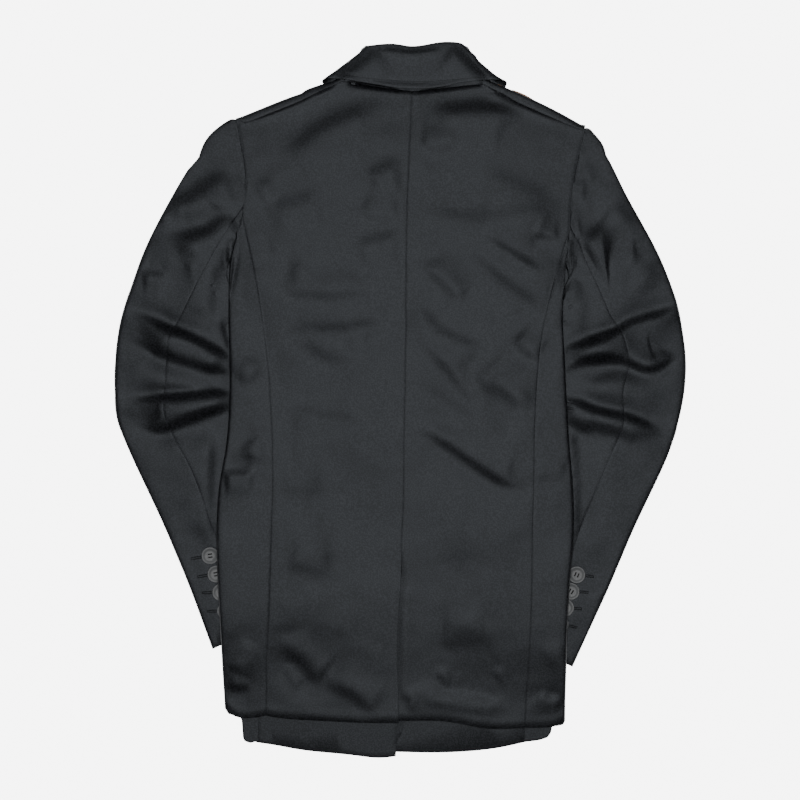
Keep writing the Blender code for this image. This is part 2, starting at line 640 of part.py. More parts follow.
# ---------------------------------------------------------------- panels
def make_backs(cloth):
    centre = centre_seam()
    left = ARMHOLES["left"]
    outside = chain(PRINCESS["left"], left["side"][::-1], left["hind"][::-1])
    top = chain(SHOULDER_SEAMS["left"], NECK_LINES["left"])
    hem = spaced_along(places(HEM_BACK_LEFT), len(top) - 1)
    points = raised(between(outside, centre, hem, top), back_left_z)
    add_panel("back_left", open_seams(points, ("first_column", "last_column", "last_row")), cloth)

    right = ARMHOLES["right"]
    outside = chain(PRINCESS["right"], right["side"][::-1], right["hind"][::-1])
    top = chain(NECK_LINES["right"], SHOULDER_SEAMS["right"][::-1])
    hem = spaced_along(places(HEM_BACK_RIGHT), len(top) - 1)
    inside = centre.copy()
    for point in inside:
        lap = ease((VENT["start"] - point[1]) / (VENT["start"] - VENT["full"]))
        point[0] += (hem[0][0] - centre[0][0]) * lap
    inside[0] = hem[0]
    points = raised(between(inside, outside, hem, top), body_z)
    add_panel("back_right", open_seams(points, ("first_column", "last_column", "last_row")), cloth)


def make_side(side, cloth):
    """A side panel: on top from the back's seam to the side fold, then under to the front's seam."""
    name = side.name
    arm = ARMHOLES[name]
    hem = spaced_along(SIDE_HEMS[name][::-1], UNDERARM_STEPS)
    upper = between(PRINCESS[name], SIDE_FOLDS[name], hem, arm["underarm"])
    arm_low = chain(arm["front_underarm"][::-1], arm["forearm"][::-1])
    hem = spaced_along(UNDER_HEMS[name], len(arm_low) - 1)
    under = between(SIDE_FOLDS[name], FRONT_SEAMS[name], hem, arm_low)
    front_z = front_left_z if name == "left" else front_right_z
    points = rolled(upper, under, body_z, front_z)
    if name == "left":
        points = points[:, ::-1]
    add_panel("side_" + name, open_seams(points, ("first_column", "last_column", "last_row")), cloth)


def make_front(side, cloth):
    """A front: under the back, with a strip at the shoulder that turns over onto the top."""
    name = side.name
    arm = ARMHOLES[name]
    fold = SHOULDER_FOLDS[name]
    hem = spaced_along(FRONT_HEMS[name], len(fold) - 1)
    outside = chain(FRONT_SEAMS[name], arm["front"][::-1])
    outside[-1] = fold[0]
    edge = column(FRONTS, "edge_" + name)
    join_y = outside[BODY_ROWS][1]
    inside = chain(rising(edge, hem[-1][1], join_y, BODY_ROWS),
                   rising(edge, join_y, fold[-1][1], FRONT_ARM_STEPS))
    under = between(outside, pinned(inside, hem[-1], fold[-1]), hem, fold)
    strip = np.array([SHOULDER_SEAMS[name], fold])
    front_z = front_left_z if name == "left" else front_right_z
    points = rolled(strip.transpose(1, 0, 2), under[::-1].transpose(1, 0, 2), body_z, front_z,
                    SMALL_ROLL)
    points = points.transpose(1, 0, 2)[::-1]
    if name == "left":
        points = points[:, ::-1]
    sides = ("first_column", "last_column", "last_row")
    add_panel("front_" + name, open_seams(points, sides), cloth)


def make_sleeve(side, cloth):
    """The top sleeve and the under sleeve, each turned round its own fold."""
    name = side.name
    arm = ARMHOLES[name]
    rows = side.sleeve

    def line(part):
        return smooth_through([(row[part + "_x"], row[part + "_y"]) for row in rows], SLEEVE_ROWS)[::-1]

    outer, hind, inner, forearm = line("outer"), line("hind"), line("inner"), line("forearm")

    def cuff(start, end, steps):
        return np.array([start + (end - start) * k / steps for k in range(steps + 1)])

    cap_low = chain(arm["front"], arm["forearm"])
    upper = between(hind, outer, cuff(hind[0], outer[0], HIND_STEPS), arm["hind"][::-1])
    hem = cuff(outer[0], forearm[0], len(cap_low) - 1)
    under = between(outer, forearm, hem, cap_low, CAP_GRIP)
    points = rolled(upper, under, side.sleeve_z, surface_z)
    if name == "left":
        points = points[:, ::-1]
    add_panel("sleeve_top_" + name, open_sleeve(points), cloth)

    cap_top = chain(arm["side"], arm["underarm"])
    upper = between(hind, inner, cuff(hind[0], inner[0], len(cap_top) - 1), cap_top)
    cap_low = arm["front_underarm"][::-1]
    hem = cuff(inner[0], forearm[0], len(cap_low) - 1)
    under = between(inner, forearm, hem, cap_low, CAP_GRIP)
    points = rolled(upper, under, side.sleeve_z, surface_z, SMALL_ROLL)
    if name == "right":
        points = points[:, ::-1]
    add_panel("sleeve_under_" + name, open_sleeve(points), cloth)


def surface_z(x, y):
    """What lies right on the surface."""
    return 0.0


def collar_lines():
    """The fall's fold and edge round the neck, and which way it faces at each place."""
    steps = np.linspace(0, len(COLLAR) - 1, (len(COLLAR) - 1) * COLLAR_STEPS + 1)
    fold = smooth_through([(row["fold_x"], row["fold_y"]) for row in COLLAR], steps)
    edge = smooth_through([(row["edge_x"], row["edge_y"]) for row in COLLAR], steps)
    return fold, edge, np.interp(steps, range(len(COLLAR)), [row["face"] for row in COLLAR])


# A section across the fall: how far from its fold, and how high its outer face is above the
# surface, on the back of the neck and on the front, where it faces down
STAND_Z = BACK_TOP - CLOTH
INNER_FRONT_Z = 2 * CLOTH + LAYER_GAP
FALL_SECTION = table(
    "along back front",
    (RETURN, STAND_Z, INNER_FRONT_Z),
    (3.0, STAND_Z, INNER_FRONT_Z),
    (0.8, STAND_Z + 0.5, INNER_FRONT_Z - 0.4),
    (0.0, (STAND_Z + FALL_Z) / 2, INNER_FRONT_Z / 2),
    (0.8, FALL_Z - 0.5, 0.4),
    (3.0, FALL_Z, 0.0),
    (16.0, FALL_Z, 0.0),
    (30.0, (FALL_Z + FALL_EDGE_Z) / 2, 0.0),
)


def make_collar(cloth):
    """The fall goes round the neck; its stand joins it to the back, under the fold."""
    fold, edge, face = collar_lines()
    rows = []
    for k in range(len(fold)):
        across = edge[k] - fold[k]
        turn = ease((1 + face[k]) / 2)
        row = [(*(fold[k] + across / np.linalg.norm(across) * place["along"]),
                place["front"] + (place["back"] - place["front"]) * turn) for place in FALL_SECTION]
        row.append((*edge[k], FALL_EDGE_Z * turn))
        rows.append(row)
    add_panel("collar_fall", np.array(rows), cloth)

    faces_up = [k for k in range(len(fold)) if face[k] == 1]
    neck = chain(NECK_LINES["left"], NECK_LINES["right"])
    across = edge - fold
    returned = fold + across / np.linalg.norm(across, axis=1, keepdims=True) * (RETURN + 1.5 * SEAM_GAP)
    top = spaced_along(returned[faces_up], len(neck) - 1)
    sides = [np.array([neck[k] + (top[k] - neck[k]) * step / 2 for step in range(3)]) for k in (0, -1)]
    points = raised(between(sides[0], sides[1], neck, top), lambda x, y: BACK_TOP)
    add_panel("collar_stand", open_seams(points, ("first_row",)), cloth)


def make_lapel(side, cloth):
    """A lapel lies face down under its front, from the break up to the collar."""
    steps = np.linspace(0, len(side.lapel) - 1, 9)
    edge = smooth_through([(row["edge_x"], row["edge_y"]) for row in side.lapel], steps)
    fold = smooth_through([(row["fold_x"], row["fold_y"]) for row in side.lapel], steps)
    right, left = (fold, edge) if side.name == "left" else (edge, fold)
    points = [[(*(a + (b - a) * step / 4), 0.0) for step in range(5)] for a, b in zip(right, left)]
    add_panel("lapel_" + side.name, np.array(points), cloth)


def make_lining(lining):
    """The sliver of lining that peeps out past the right shoulder's fold."""
    points = [[(row["inner_x"], row["inner_y"], LINING_Z + LINING_WALL),
               (row["outer_x"], row["outer_y"], LINING_Z + LINING_WALL)] for row in LINING]
    add_panel("lining_shoulder", np.array(points)[:, ::-1], lining, LINING_WALL)


def make_buttons(plastic):
    for side in (LEFT, RIGHT):
        for number, place in enumerate(side.buttons, start=1):
            z = PRESSED_TOP + SEAM_GAP
            add_button(f"button_{side.name}_{number}", (place["x"], place["y"]), z, CUFF_BUTTON, plastic)
    add_button("button_front", (FRONT_BUTTON["x"], FRONT_BUTTON["y"]), 0.0, FRONT_BUTTON, plastic)


clear_scene()
jacket = bpy.data.collections.new("suit_jacket")
bpy.context.scene.collection.children.link(jacket)
cloth_satin = make_material("charcoal_satin", (0.034, 0.037, 0.041), 0.42, 0.2)
lining_peach = make_material("peach_lining", (0.82, 0.52, 0.25), 0.4)
button_horn = make_material("button_horn", (0.12, 0.12, 0.12), 0.35)
make_backs(cloth_satin)
for half in (LEFT, RIGHT):
    make_side(half, cloth_satin)
    make_front(half, cloth_satin)
    make_sleeve(half, cloth_satin)
    make_lapel(half, cloth_satin)
make_collar(cloth_satin)
make_lining(lining_peach)
make_buttons(button_horn)
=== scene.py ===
# A women's suit jacket in charcoal satin, laid out flat on its front
from math import atan2, cos, exp, hypot, pi, radians, sin

import bmesh
import bpy
import numpy as np
from mathutils import Matrix, Vector, noise
from mathutils.bvhtree import BVHTree
from mathutils.kdtree import KDTree


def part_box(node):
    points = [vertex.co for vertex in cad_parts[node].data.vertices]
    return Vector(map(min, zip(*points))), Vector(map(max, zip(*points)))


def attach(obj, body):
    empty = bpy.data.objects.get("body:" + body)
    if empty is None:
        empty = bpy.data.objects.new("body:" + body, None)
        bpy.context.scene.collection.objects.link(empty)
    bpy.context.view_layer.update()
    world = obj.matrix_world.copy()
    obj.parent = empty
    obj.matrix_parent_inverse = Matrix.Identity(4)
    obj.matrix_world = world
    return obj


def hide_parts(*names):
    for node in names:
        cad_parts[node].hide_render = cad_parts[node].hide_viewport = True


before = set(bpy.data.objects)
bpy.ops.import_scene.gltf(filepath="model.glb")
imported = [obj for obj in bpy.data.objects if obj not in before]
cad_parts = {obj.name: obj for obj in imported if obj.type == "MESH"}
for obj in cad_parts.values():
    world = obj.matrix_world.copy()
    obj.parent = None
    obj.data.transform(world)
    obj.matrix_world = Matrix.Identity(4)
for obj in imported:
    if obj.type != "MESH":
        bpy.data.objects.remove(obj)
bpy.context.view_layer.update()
mm = 0.001


# ---- camera, floor and light
cameraSettings = {"height": 3.2, "width": 0.9092, "sensor": 36.0}
lightSettings = {"size": 1.7, "length": 1.84, "height": 3.6, "shiftY": 0.12, "watts": 123, "world": 0.12,
                 "fillWatts": 9, "fillSize": 1.6}
floorSettings = {"size": 8.0, "colour": (0.86, 0.86, 0.86), "gap": 0.0002, "glow": 6.0}


def aimedCamera(s):
    data = bpy.data.cameras.new("topCamera")
    data.sensor_width = s["sensor"]
    data.lens = s["sensor"] * s["height"] / s["width"]
    data.clip_end = 50
    camera = bpy.data.objects.new("topCamera", data)
    camera.location = (0, 0, s["height"])
    bpy.context.scene.collection.objects.link(camera)
    bpy.context.scene.camera = camera


def softLight(name, place, target, size, length, watts):
    data = bpy.data.lights.new(name, "AREA")
    data.shape = "RECTANGLE"
    data.size = size
    data.size_y = length
    data.energy = watts
    light = bpy.data.objects.new(name, data)
    light.location = place
    light.rotation_euler = (Vector(target) - Vector(place)).to_track_quat("-Z", "Y").to_euler()
    bpy.context.scene.collection.objects.link(light)


aimedCamera(cameraSettings)
softLight("overhead", (0, lightSettings["shiftY"], lightSettings["height"]),
          (0, lightSettings["shiftY"], 0), lightSettings["size"], lightSettings["length"], lightSettings["watts"])
softLight("fill", (-2.4, 1.6, 1.8), (0, 0, 0), lightSettings["fillSize"], lightSettings["fillSize"],
          lightSettings["fillWatts"])
world = bpy.data.worlds.new("studio")
world.use_nodes = True
world.node_tree.nodes["Background"].inputs["Color"].default_value = (1, 1, 1, 1)
world.node_tree.nodes["Background"].inputs["Strength"].default_value = lightSettings["world"]
bpy.context.scene.world = world
print("camera and light are set")


# ---- shader maths
class Value:
    # one socket of a node tree, with the arithmetic that the materials use
    def __init__(self, tree, socket):
        self.tree = tree
        self.socket = socket

    def node(self, kind, settings, *inputs, output=0):
        made = self.tree.nodes.new(kind)
        for name, setting in settings.items():
            setattr(made, name, setting)
        for name, value in inputs:
            socket = made.inputs[name]
            if isinstance(value, Value):
                self.tree.links.new(value.socket, socket)
            else:
                socket.default_value = value
        return Value(self.tree, made.outputs[output])

    def maths(self, operation, *values):
        return self.node("ShaderNodeMath", {"operation": operation}, *enumerate(values))

    def __add__(self, other):
        return self.maths("ADD", self, other)

    __radd__ = __add__

    def __mul__(self, other):
        return self.maths("MULTIPLY", self, other)

    __rmul__ = __mul__

    def __sub__(self, other):
        return self.maths("SUBTRACT", self, other)

    def __rsub__(self, other):
        return self.maths("SUBTRACT", other, self)


def newMaterial(name):
    material = bpy.data.materials.new(name)
    material.use_nodes = True
    tree = material.node_tree
    shader = tree.nodes["Principled BSDF"]
    place = tree.nodes.new("ShaderNodeTexCoord").outputs["Object"]
    return material, shader, Value(tree, place)


def mixed(a, factor, dark, light):
    # a colour between two, by a factor
    return a.node("ShaderNodeMix", {"data_type": "RGBA"}, (0, factor), (6, (*dark, 1)), (7, (*light, 1)), output=2)


def stretched(place, scale, turn=0.0):
    return place.node("ShaderNodeMapping", {}, ("Vector", place), ("Scale", scale), ("Rotation", (0, 0, turn)))


def clouds(place, scale, detail=3.0, rough=0.55):
    return place.node("ShaderNodeTexNoise", {}, ("Vector", place), ("Scale", scale), ("Detail", detail),
                      ("Roughness", rough))


def twill(place, turn, pitch):
    # fine diagonal ribs, pitch in metres between two of them
    turned = stretched(place, (1, 1, 1), turn)
    return place.node("ShaderNodeTexWave", {"wave_type": "BANDS", "bands_direction": "X"},
                      ("Vector", turned), ("Scale", 2 * pi / 20 / pitch), ("Distortion", 0.6), ("Detail", 1.0),
                      ("Detail Scale", 2.0), output=1)


satinLook = {"dark": (0.0, 0.0, 0.0), "light": (0.0084, 0.0086, 0.0104), "rough": 0.44, "roughSpread": 0.10,
             "specular": 0.15, "tint": (0.86, 0.925, 1.0), "ribPitch": 0.0007, "ribHeight": 0.00003, "ribTurn": 63,
             "grain": 640, "grainShare": 7.0, "broadShare": 0.3, "fineShare": 0.1, "tone": 0.16}


def satinMaterial(look):
    material, shader, place = newMaterial("charcoalSatin")
    broad = clouds(place, 9, 2)
    fine = clouds(stretched(place, (260, 900, 260), 0.1), 1, 2)
    grain = clouds(place, look["grain"], 1, 0.5)
    tone = (grain - 0.5) * look["grainShare"] + broad * look["broadShare"] + fine * look["fineShare"] + look["tone"]
    shader.inputs["Specular IOR Level"].default_value = look["specular"]
    shader.inputs["Specular Tint"].default_value = (*look["tint"], 1)
    links = place.tree.links
    links.new(mixed(place, tone, look["dark"], look["light"]).socket, shader.inputs["Base Color"])
    rough = look["rough"] + (fine - 0.5) * look["roughSpread"]
    links.new(rough.socket, shader.inputs["Roughness"])
    ribs = twill(place, radians(look["ribTurn"]), look["ribPitch"]) * 0.5 + clouds(place, look["grain"], 2, 0.7) * 1.6
    bump = place.node("ShaderNodeBump", {}, ("Strength", 0.5), ("Distance", look["ribHeight"]), ("Height", ribs))
    links.new(bump.socket, shader.inputs["Normal"])
    return material


satin = satinMaterial(satinLook)
print("cloth material is made")


# ---- folds, in millimetres, each row with its height, its width and the places that its line runs through.
# A ridge stands along its line, or sinks where its height is negative. A bank is a slope across its line:
# the cloth to the left of the line's direction stands higher, or lower where its height is negative
leftSleeveRidges = [
    (1.08, 4.8, (-189.8, 183.3), (-191.5, 170.4), (-193.2, 156.2)),
    (-0.9, 3.6, (-196.1, 173.3), (-198.4, 159), (-196.1, 144.8)),
    (-0.72, 3.12, (-185.8, 181.8), (-187.5, 164.7), (-189.8, 147.6)),
    (0.6, 8.4, (-211.8, 159), (-204.6, 124.8), (-207.5, 96.3)),
]
leftSleeveBanks = [
    (-2.3, 6, (-307.2, 100.6), (-287.3, 93.5), (-267.3, 83.5), (-244.5, 75), (-224.6, 65), (-207.5, 56.4),
     (-193.8, 48.7), (-167.6, 34)),
    (2.3, 6.5, (-312.9, 70.7), (-287.3, 60.7), (-273, 53.6), (-255.9, 46.5), (-236, 40.8), (-216, 35.1),
     (-193.8, 31.6), (-164.2, 26.9)),
    (-2.3, 6, (-310.1, 3.7), (-287.3, 0.9), (-267.3, 3.7), (-244.5, 5.7), (-224.6, 8), (-207.5, 8.5),
     (-193.8, 7.4), (-163.9, 5)),
    (2.4, 6.5, (-307.2, -24.8), (-284.4, -32.5), (-268.8, -33.3), (-255.9, -29.1), (-236, -20.5), (-216, -13.4),
     (-193.8, -8.5), (-164.5, -2)),
    (-1.5, 10, (-265.9, 216), (-247.4, 224.6), (-227.4, 238.8), (-207.5, 253.1), (-190.4, 263.1)),
    (-2.4, 9, (-262, 186), (-240, 187), (-218, 194), (-202, 206), (-192, 216)),
    (-0.7, 6, (-247.4, 157.6), (-237.4, 156.8), (-228.9, 159)),
    (-1, 5.5, (-294.4, 145.3), (-278.7, 143.4), (-258.8, 141.1)),
    (1, 9, (-275.9, 193.2), (-264.5, 194.7), (-255.9, 197.5)),
    (-1.3, 9, (-207.5, 170.4), (-208.9, 141.9), (-213.2, 113.4), (-214.6, 84.9)),
    (1.2, 5, (-204.6, 96.3), (-200.4, 79.2), (-193.8, 60.7), (-183.7, 32.4)),
    (-0.8, 12, (-290.1, 25.1), (-267.3, 22.2), (-236, 22.8), (-210.3, 25.1)),
    (-1.5, 7, (-212, -22), (-213, -60), (-214, -100), (-214, -140), (-213, -175)),
]
rightSleeveRidges = [
    (0.8, 5.2, (191.5, 181.8), (189.8, 170.4), (187, 156.2)),
    (0.6, 6.5, (188.1, 113.4), (197.2, 124.8), (201.8, 136.2)),
    (-0.6, 3.9, (187, 170.4), (185.2, 156.2), (184.7, 141.9)),
]
rightSleeveBanks = [
    (-2.4, 6, (159.6, 52), (188.7, 59.3), (205.8, 63.6), (225.7, 70.7), (242.8, 77.8), (257.1, 86.4),
     (277, 93.5), (297, 99.2), (312, 106), (320, 110)),
    (2.4, 6.5, (160.8, 21.7), (188.1, 34.2), (208.6, 43.6), (225.7, 46.5), (245.7, 45.6), (259.9, 42.7),
     (277, 35.9), (291.3, 37), (305.5, 45), (316.9, 49.3)),
    (-2.2, 6, (159.5, 6.8), (188.7, 0), (205.8, -4), (222.9, -10.5), (240, -14.2), (257.1, -17.7),
     (271.3, -23.9), (285.6, -30.5), (301.2, -31.9)),
    (1.4, 7, (163.4, -9), (190.1, -23), (205.8, -31), (222, -38)),
    (1.0, 6, (248, 42), (262, 38), (276, 33), (290, 35), (304, 44), (312, 50)),
    (-3, 12, (198, 180), (208, 185), (222, 190), (236, 192), (256, 190)),
    (-0.6, 7.5, (208, 265), (216, 263), (224, 264)),
    (0.45, 4, (207.2, 224), (209.5, 238), (211, 252)),
    (-1, 9, (238, 228), (248, 219), (259, 208), (268.5, 190.4)),
    (-0.8, 9, (274.2, 159), (285.6, 144.8), (299.8, 134.8)),
    (1.2, 9, (200.1, 66.4), (207.2, 84.9), (208.6, 107.7), (202.9, 127.7), (194.4, 141.9)),
    (1, 7, (188.7, 144.8), (197.2, 154.8), (205.8, 163.3)),
    (1.5, 7, (200, -175), (200, -130), (199, -90), (197, -50), (197, -25)),
    (-0.8, 12, (208.6, 19.4), (234.3, 16.5), (268.5, 13.7), (297, 16.5)),
    (1, 8, (248.5, 159), (262.8, 156.2), (277, 157.6)),
]
bodyRidges = [
    (0.36, 9.9, (-136, -32), (-91, -42), (-34, -39)),
    (0.36, 11, (-132, -166), (-91, -169), (-45, -166)),
    (0.43, 8.8, (-125, -267), (-100, -292), (-75, -315), (-38, -331)),
    (0.5, 7.7, (-164, -290), (-180, -306), (-196, -316)),
    (0.47, 6.6, (-175, -89), (-166, -71), (-157, -55)),
    (0.36, 6.6, (-198, -100), (-177, -100), (-152, -96)),
    (0.47, 7.7, (19, 79), (42, 54), (67, 27), (87, 2)),
    (0.5, 8.8, (10, 20), (35, 4), (64, -14), (92, -28)),
    (0.43, 6.6, (105, 25), (128, 9), (151, -5)),
    (0.4, 9.9, (53, -28), (76, -39), (103, -55), (133, -78)),
    (0.36, 9.9, (35, -63), (64, -89), (99, -110)),
    (0.36, 11, (35, -160), (69, -153), (109, -149)),
    (0.43, 8.8, (48, -256), (74, -251), (96, -242)),
    (0.4, 6.6, (23, -339), (51, -345), (83, -349), (126, -347)),
    (-3, 2.4, (-60, 361.6), (-52, 360.1), (-22, 356.3), (12, 353.9), (29, 354.1), (57, 357.1), (86, 360.7),
     (98, 362)),
]
bodyBanks = [
    (-1.25, 11, (-143.4, 277.3), (-110.6, 295.3), (-82.1, 314.4), (-50.7, 328.6), (-5.1, 338)),
    (-0.9, 9, (-45, 253.6), (-22.2, 263.9), (4.8, 273.6)),
    (-0.8, 10, (-159, 213.2), (-122, 226.9), (-86.4, 240.3)),
    (-0.6, 7, (-170.4, 242.2), (-153.3, 247.4), (-136.2, 250.8)),
    (0.4, 6, (-147.6, 159), (-133.4, 166.2), (-119.1, 171.9)),
    (-0.3, 6, (-133.4, 142.5), (-119.1, 151.9), (-106.3, 161.9)),
    (0.6, 8, (-50.7, 211.8), (-25.1, 206.9), (0.6, 200.4)),
    (-0.6, 8, (-56.4, 176.7), (-27.9, 184.1), (4.8, 190.9)),
    (0.8, 8, (-144.8, 126.3), (-110.6, 119.7), (-70.7, 118.6), (-22.2, 125.4)),
    (-0.6, 7, (-116.3, 86.4), (-90.6, 82.6), (-62.1, 82.6), (-36.5, 87.8), (-13.7, 77.8)),
    (0.9, 9.5, (-140.5, 71.2), (-113.4, 62.7), (-87.8, 51.3), (-62.1, 47.3), (-33.6, 53)),
    (1, 8, (-177.6, 10.8), (-164.7, 27.4), (-150.5, 43.6)),
    (-1.3, 9, (27.6, 326.6), (57.6, 330), (86.1, 332), (114.6, 330.6), (144.5, 324.3)),
    (0.9, 8, (20.5, 283.9), (43.3, 286.7), (71.8, 289.3)),
    (-1.1, 17, (75, 266), (114.6, 255.4), (143.1, 240.3), (165.9, 226), (190.1, 216.6)),
    (-0.75, 10, (17.7, 217.2), (57.6, 210.9), (97.5, 208), (137.4, 213.2), (177.3, 215.5)),
    (-0.8, 5.4, (86.1, 190.4), (108.9, 179.5), (128.8, 167.6), (148.8, 154.8), (168.7, 143.4)),
    (0.7, 5, (147.3, 189.8), (163, 185.2), (183, 180.1)),
    (-0.7, 8, (73.2, 170.4), (100.3, 151), (126, 129.1), (150.2, 110.6), (154.5, 84.9)),
    (-1.1, 8.5, (16, 117), (31.9, 93.5), (54.7, 75), (77.5, 65.5), (98.9, 59.8)),
    (0.8, 7, (21.9, 154.8), (40.5, 139.1), (57.6, 122), (71.8, 106.3)),
    (0.9, 7, (123.1, 69.3), (140.2, 56.4), (157.3, 40.8)),
    (0.5, 8, (-130, -8), (-112, -11), (-85, -16), (-55, -20), (-36, -19)),
    (0.47, 9.4, (-141, -104), (-111, -103), (-82, -104)),
    (0.53, 8.2, (-133, -186), (-106, -192), (-71, -197)),
    (0.88, 8.2, (-143, -267), (-123, -289), (-102, -311), (-88, -324)),
    (0.77, 7, (-93, -324), (-60, -331), (-41, -346), (-22, -359)),
    (0.41, 4.7, (-134, -299), (-126, -315), (-117, -331)),
    (0.77, 7, (-175, -265), (-186, -288), (-199, -306)),
    (0.7, 4.7, (-200, -321), (-184, -327), (-167, -325)),
    (-1.06, 5.9, (-202, -81), (-184, -82), (-160, -82)),
    (-0.65, 5.9, (-182, -66), (-175, -54), (-167, -46), (-152, -37)),
    (0.53, 7, (29, 60), (51, 36), (71, 9), (92, -15)),
    (0.7, 9.4, (76, 38), (94, 18), (123, 1), (144, -17)),
    (1.2, 6.5, (8, -27), (40, -43), (69, -63), (97, -82), (120, -95), (147, -99)),
    (0.35, 5.9, (150, -92), (170, -87), (188, -92)),
    (0.35, 11.7, (42, -182), (71, -175), (103, -169)),
    (0.4, 9.4, (40, -278), (77, -274), (112, -261)),
    (-0.53, 5.2, (36, -312), (47, -306), (58, -301)),
    (-0.53, 5.2, (101, -310), (111, -306), (121, -301)),
    (-0.65, 5.9, (11, -325), (33, -325), (50, -333), (76, -334), (103, -340), (123, -332)),
    (0.7, 5.2, (2, -329), (10, -341), (5, -354)),
    (-0.7, 4.7, (161, -328), (169, -338), (186, -338)),
    (0.32, 7, (176, -288), (181, -306), (184, -322)),
    (-0.53, 8.2, (153, -283), (172, -278), (190, -274)),
    (-0.5, 2.2, (-185, 310), (-148, 325.5), (-116, 338), (-84, 352.5), (-62, 359.5)),
    (0.5, 2.2, (208, 304), (158, 326.5), (122.5, 342), (105, 350), (93, 355.5)),
]
collarRidges = [
    (-0.55, 1.2, (-74, 369.8), (-61, 368), (-26, 363.6), (9, 361.4), (35, 361.4), (61, 363.2), (98, 366.4)),
    (0.5, 2.2, (-68, 366), (-60, 364.6), (-26, 360), (9, 357.8), (35, 357.8), (61, 359.8), (94, 363.2)),
]
collarBanks = [
    (-1.3, 7, (58, 404), (66, 394), (79, 380), (92, 368), (104, 356)),
    (1.25, 8, (-24, 402), (-33, 391), (-50, 378), (-66, 368), (-78, 360)),
    (-0.5, 3, (-30, 397), (-10, 397), (12, 394.6), (36, 397), (50, 399)),
]
neckRidges = [
    (-3, 2.4, (-60, 361.6), (-52, 360.1), (-22, 356.3), (12, 353.9), (29, 354.1), (57, 357.1), (86, 360.7),
     (98, 362)),
]


def curveThrough(points, perSpan=8):
    # a smooth line through the points
    p = np.array(points, dtype=float)
    p = np.vstack([2 * p[0] - p[1], p, 2 * p[-1] - p[-2]])
    line = []
    for k in range(1, len(p) - 2):
        a, b, c, d = p[k - 1], p[k], p[k + 1], p[k + 2]
        for t in np.arange(perSpan) / perSpan:
            line.append(0.5 * (2 * b + (c - a) * t + (2 * a - 5 * b + 4 * c - d) * t ** 2
                               + (3 * b - a - 3 * c + d) * t ** 3))
    line.append(p[-2])
    return np.array(line)


def foldHeights(xy, rows, banks):
    # the height that all folds of a table add at each place
    total = np.zeros(len(xy))
    for height, width, *points in rows:
        line = curveThrough(points)
        reach = width * (bankReach if banks else 1) * foldLook["reach"]
        low, high = line.min(axis=0) - reach, line.max(axis=0) + reach
        near = np.where(((xy > low) & (xy < high)).all(axis=1))[0]
        if len(near) == 0:
            continue
        best = np.full(len(near), 1e9)
        along, side = np.zeros(len(near)), np.zeros(len(near))
        for k in range(len(line) - 1):
            step = line[k + 1] - line[k]
            gap = xy[near] - line[k]
            s = np.clip(gap @ step / (step @ step), 0, 1)
            away = np.hypot(*(gap - s[:, None] * step).T)
            closer = away < best
            best[closer] = away[closer]
            along[closer] = (k + s[closer]) / (len(line) - 1)
            side[closer] = np.sign(step[0] * gap[closer, 1] - step[1] * gap[closer, 0])
        ends = np.clip(1 - np.abs(2 * along - 1) ** 3, 0, 1)
        if banks:
            length = np.hypot(*np.diff(line, axis=0).T).sum()
            fade = max(width * foldLook["endFade"], length * foldLook["endShare"])
            ends = np.clip(np.minimum(along, 1 - along) * length / fade, 0, 1)
            ends = ends * ends * (3 - 2 * ends)
            broad = width * bankReach * (foldLook["tip"] + (1 - foldLook["tip"]) * ends)
            profile = np.tanh(side * best / width) + foldLook["lift"] * np.sign(height)
            profile *= np.exp(-(best / broad) ** 2)
        else:
            profile = np.exp(-foldLook["halved"] * (best / width) ** 2)
        total[near] += height * profile * ends
    return total


# how far a bank fades out, in widths; how its ends fade and narrow; and how much of it stands above the cloth
bankReach = 3.2
foldLook = {"reach": 2.6, "endFade": 2.2, "endShare": 0.3, "tip": 0.25, "lift": 0.45, "halved": 0.69}


# ---- how the layers lie on each other, read from the solids
def clothTree(*pieces):
    points, faces = [], []
    for piece in pieces:
        start = len(points)
        points += [tuple(v.co / mm) for v in piece.data.vertices]
        faces += [[start + index for index in face.vertices] for face in piece.data.polygons]
    return BVHTree.FromPolygons(points, faces)


def heightTree(nodes):
    return clothTree(*(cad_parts[node] for node in nodes))


def heightFrom(tree, x, y, z, up):
    # where a ray up or down from a place first meets the tree
    hit = tree.ray_cast(Vector((x, y, z)), Vector((0, 0, 1 if up else -1)))[0]
    return None if hit is None else hit.z


def sideEdge(side, sign):
    # the outermost x of a side panel at each height
    points = np.array([tuple(v.co / mm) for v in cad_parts[side].data.vertices])
    heights = np.arange(-380, 330, 6.0)
    edge = [max(sign * p[0] for p in points[np.abs(points[:, 1] - y) < 16]) if
            (np.abs(points[:, 1] - y) < 16).any() else sign * points[np.argmin(np.abs(points[:, 1] - y)), 0]
            for y in heights]
    return lambda y: sign * np.interp(y, heights, edge)


wall = 1.2
above, below = 60, -60
bodyNodes = ("back_left", "back_right", "side_left", "side_right", "front_left", "front_right")
neckNodes = ("collar_stand", "back_left", "back_right")
lapelTree = heightTree(("lapel_left", "lapel_right"))


def layerGroup(whole, under, beneath, over=None, edge=None, sign=0):
    return {"whole": whole, "under": under, "beneath": beneath, "over": over, "edge": edge, "sign": sign}


def sleeveGroup(side, sign):
    covers = ("side_" + side, "front_" + side) + tuple(f"button_{side}_{k}" for k in range(1, 5))
    return layerGroup(heightTree(("sleeve_top_" + side, "sleeve_under_" + side)), None, None, heightTree(covers),
                      sideEdge("side_" + side, sign), sign)


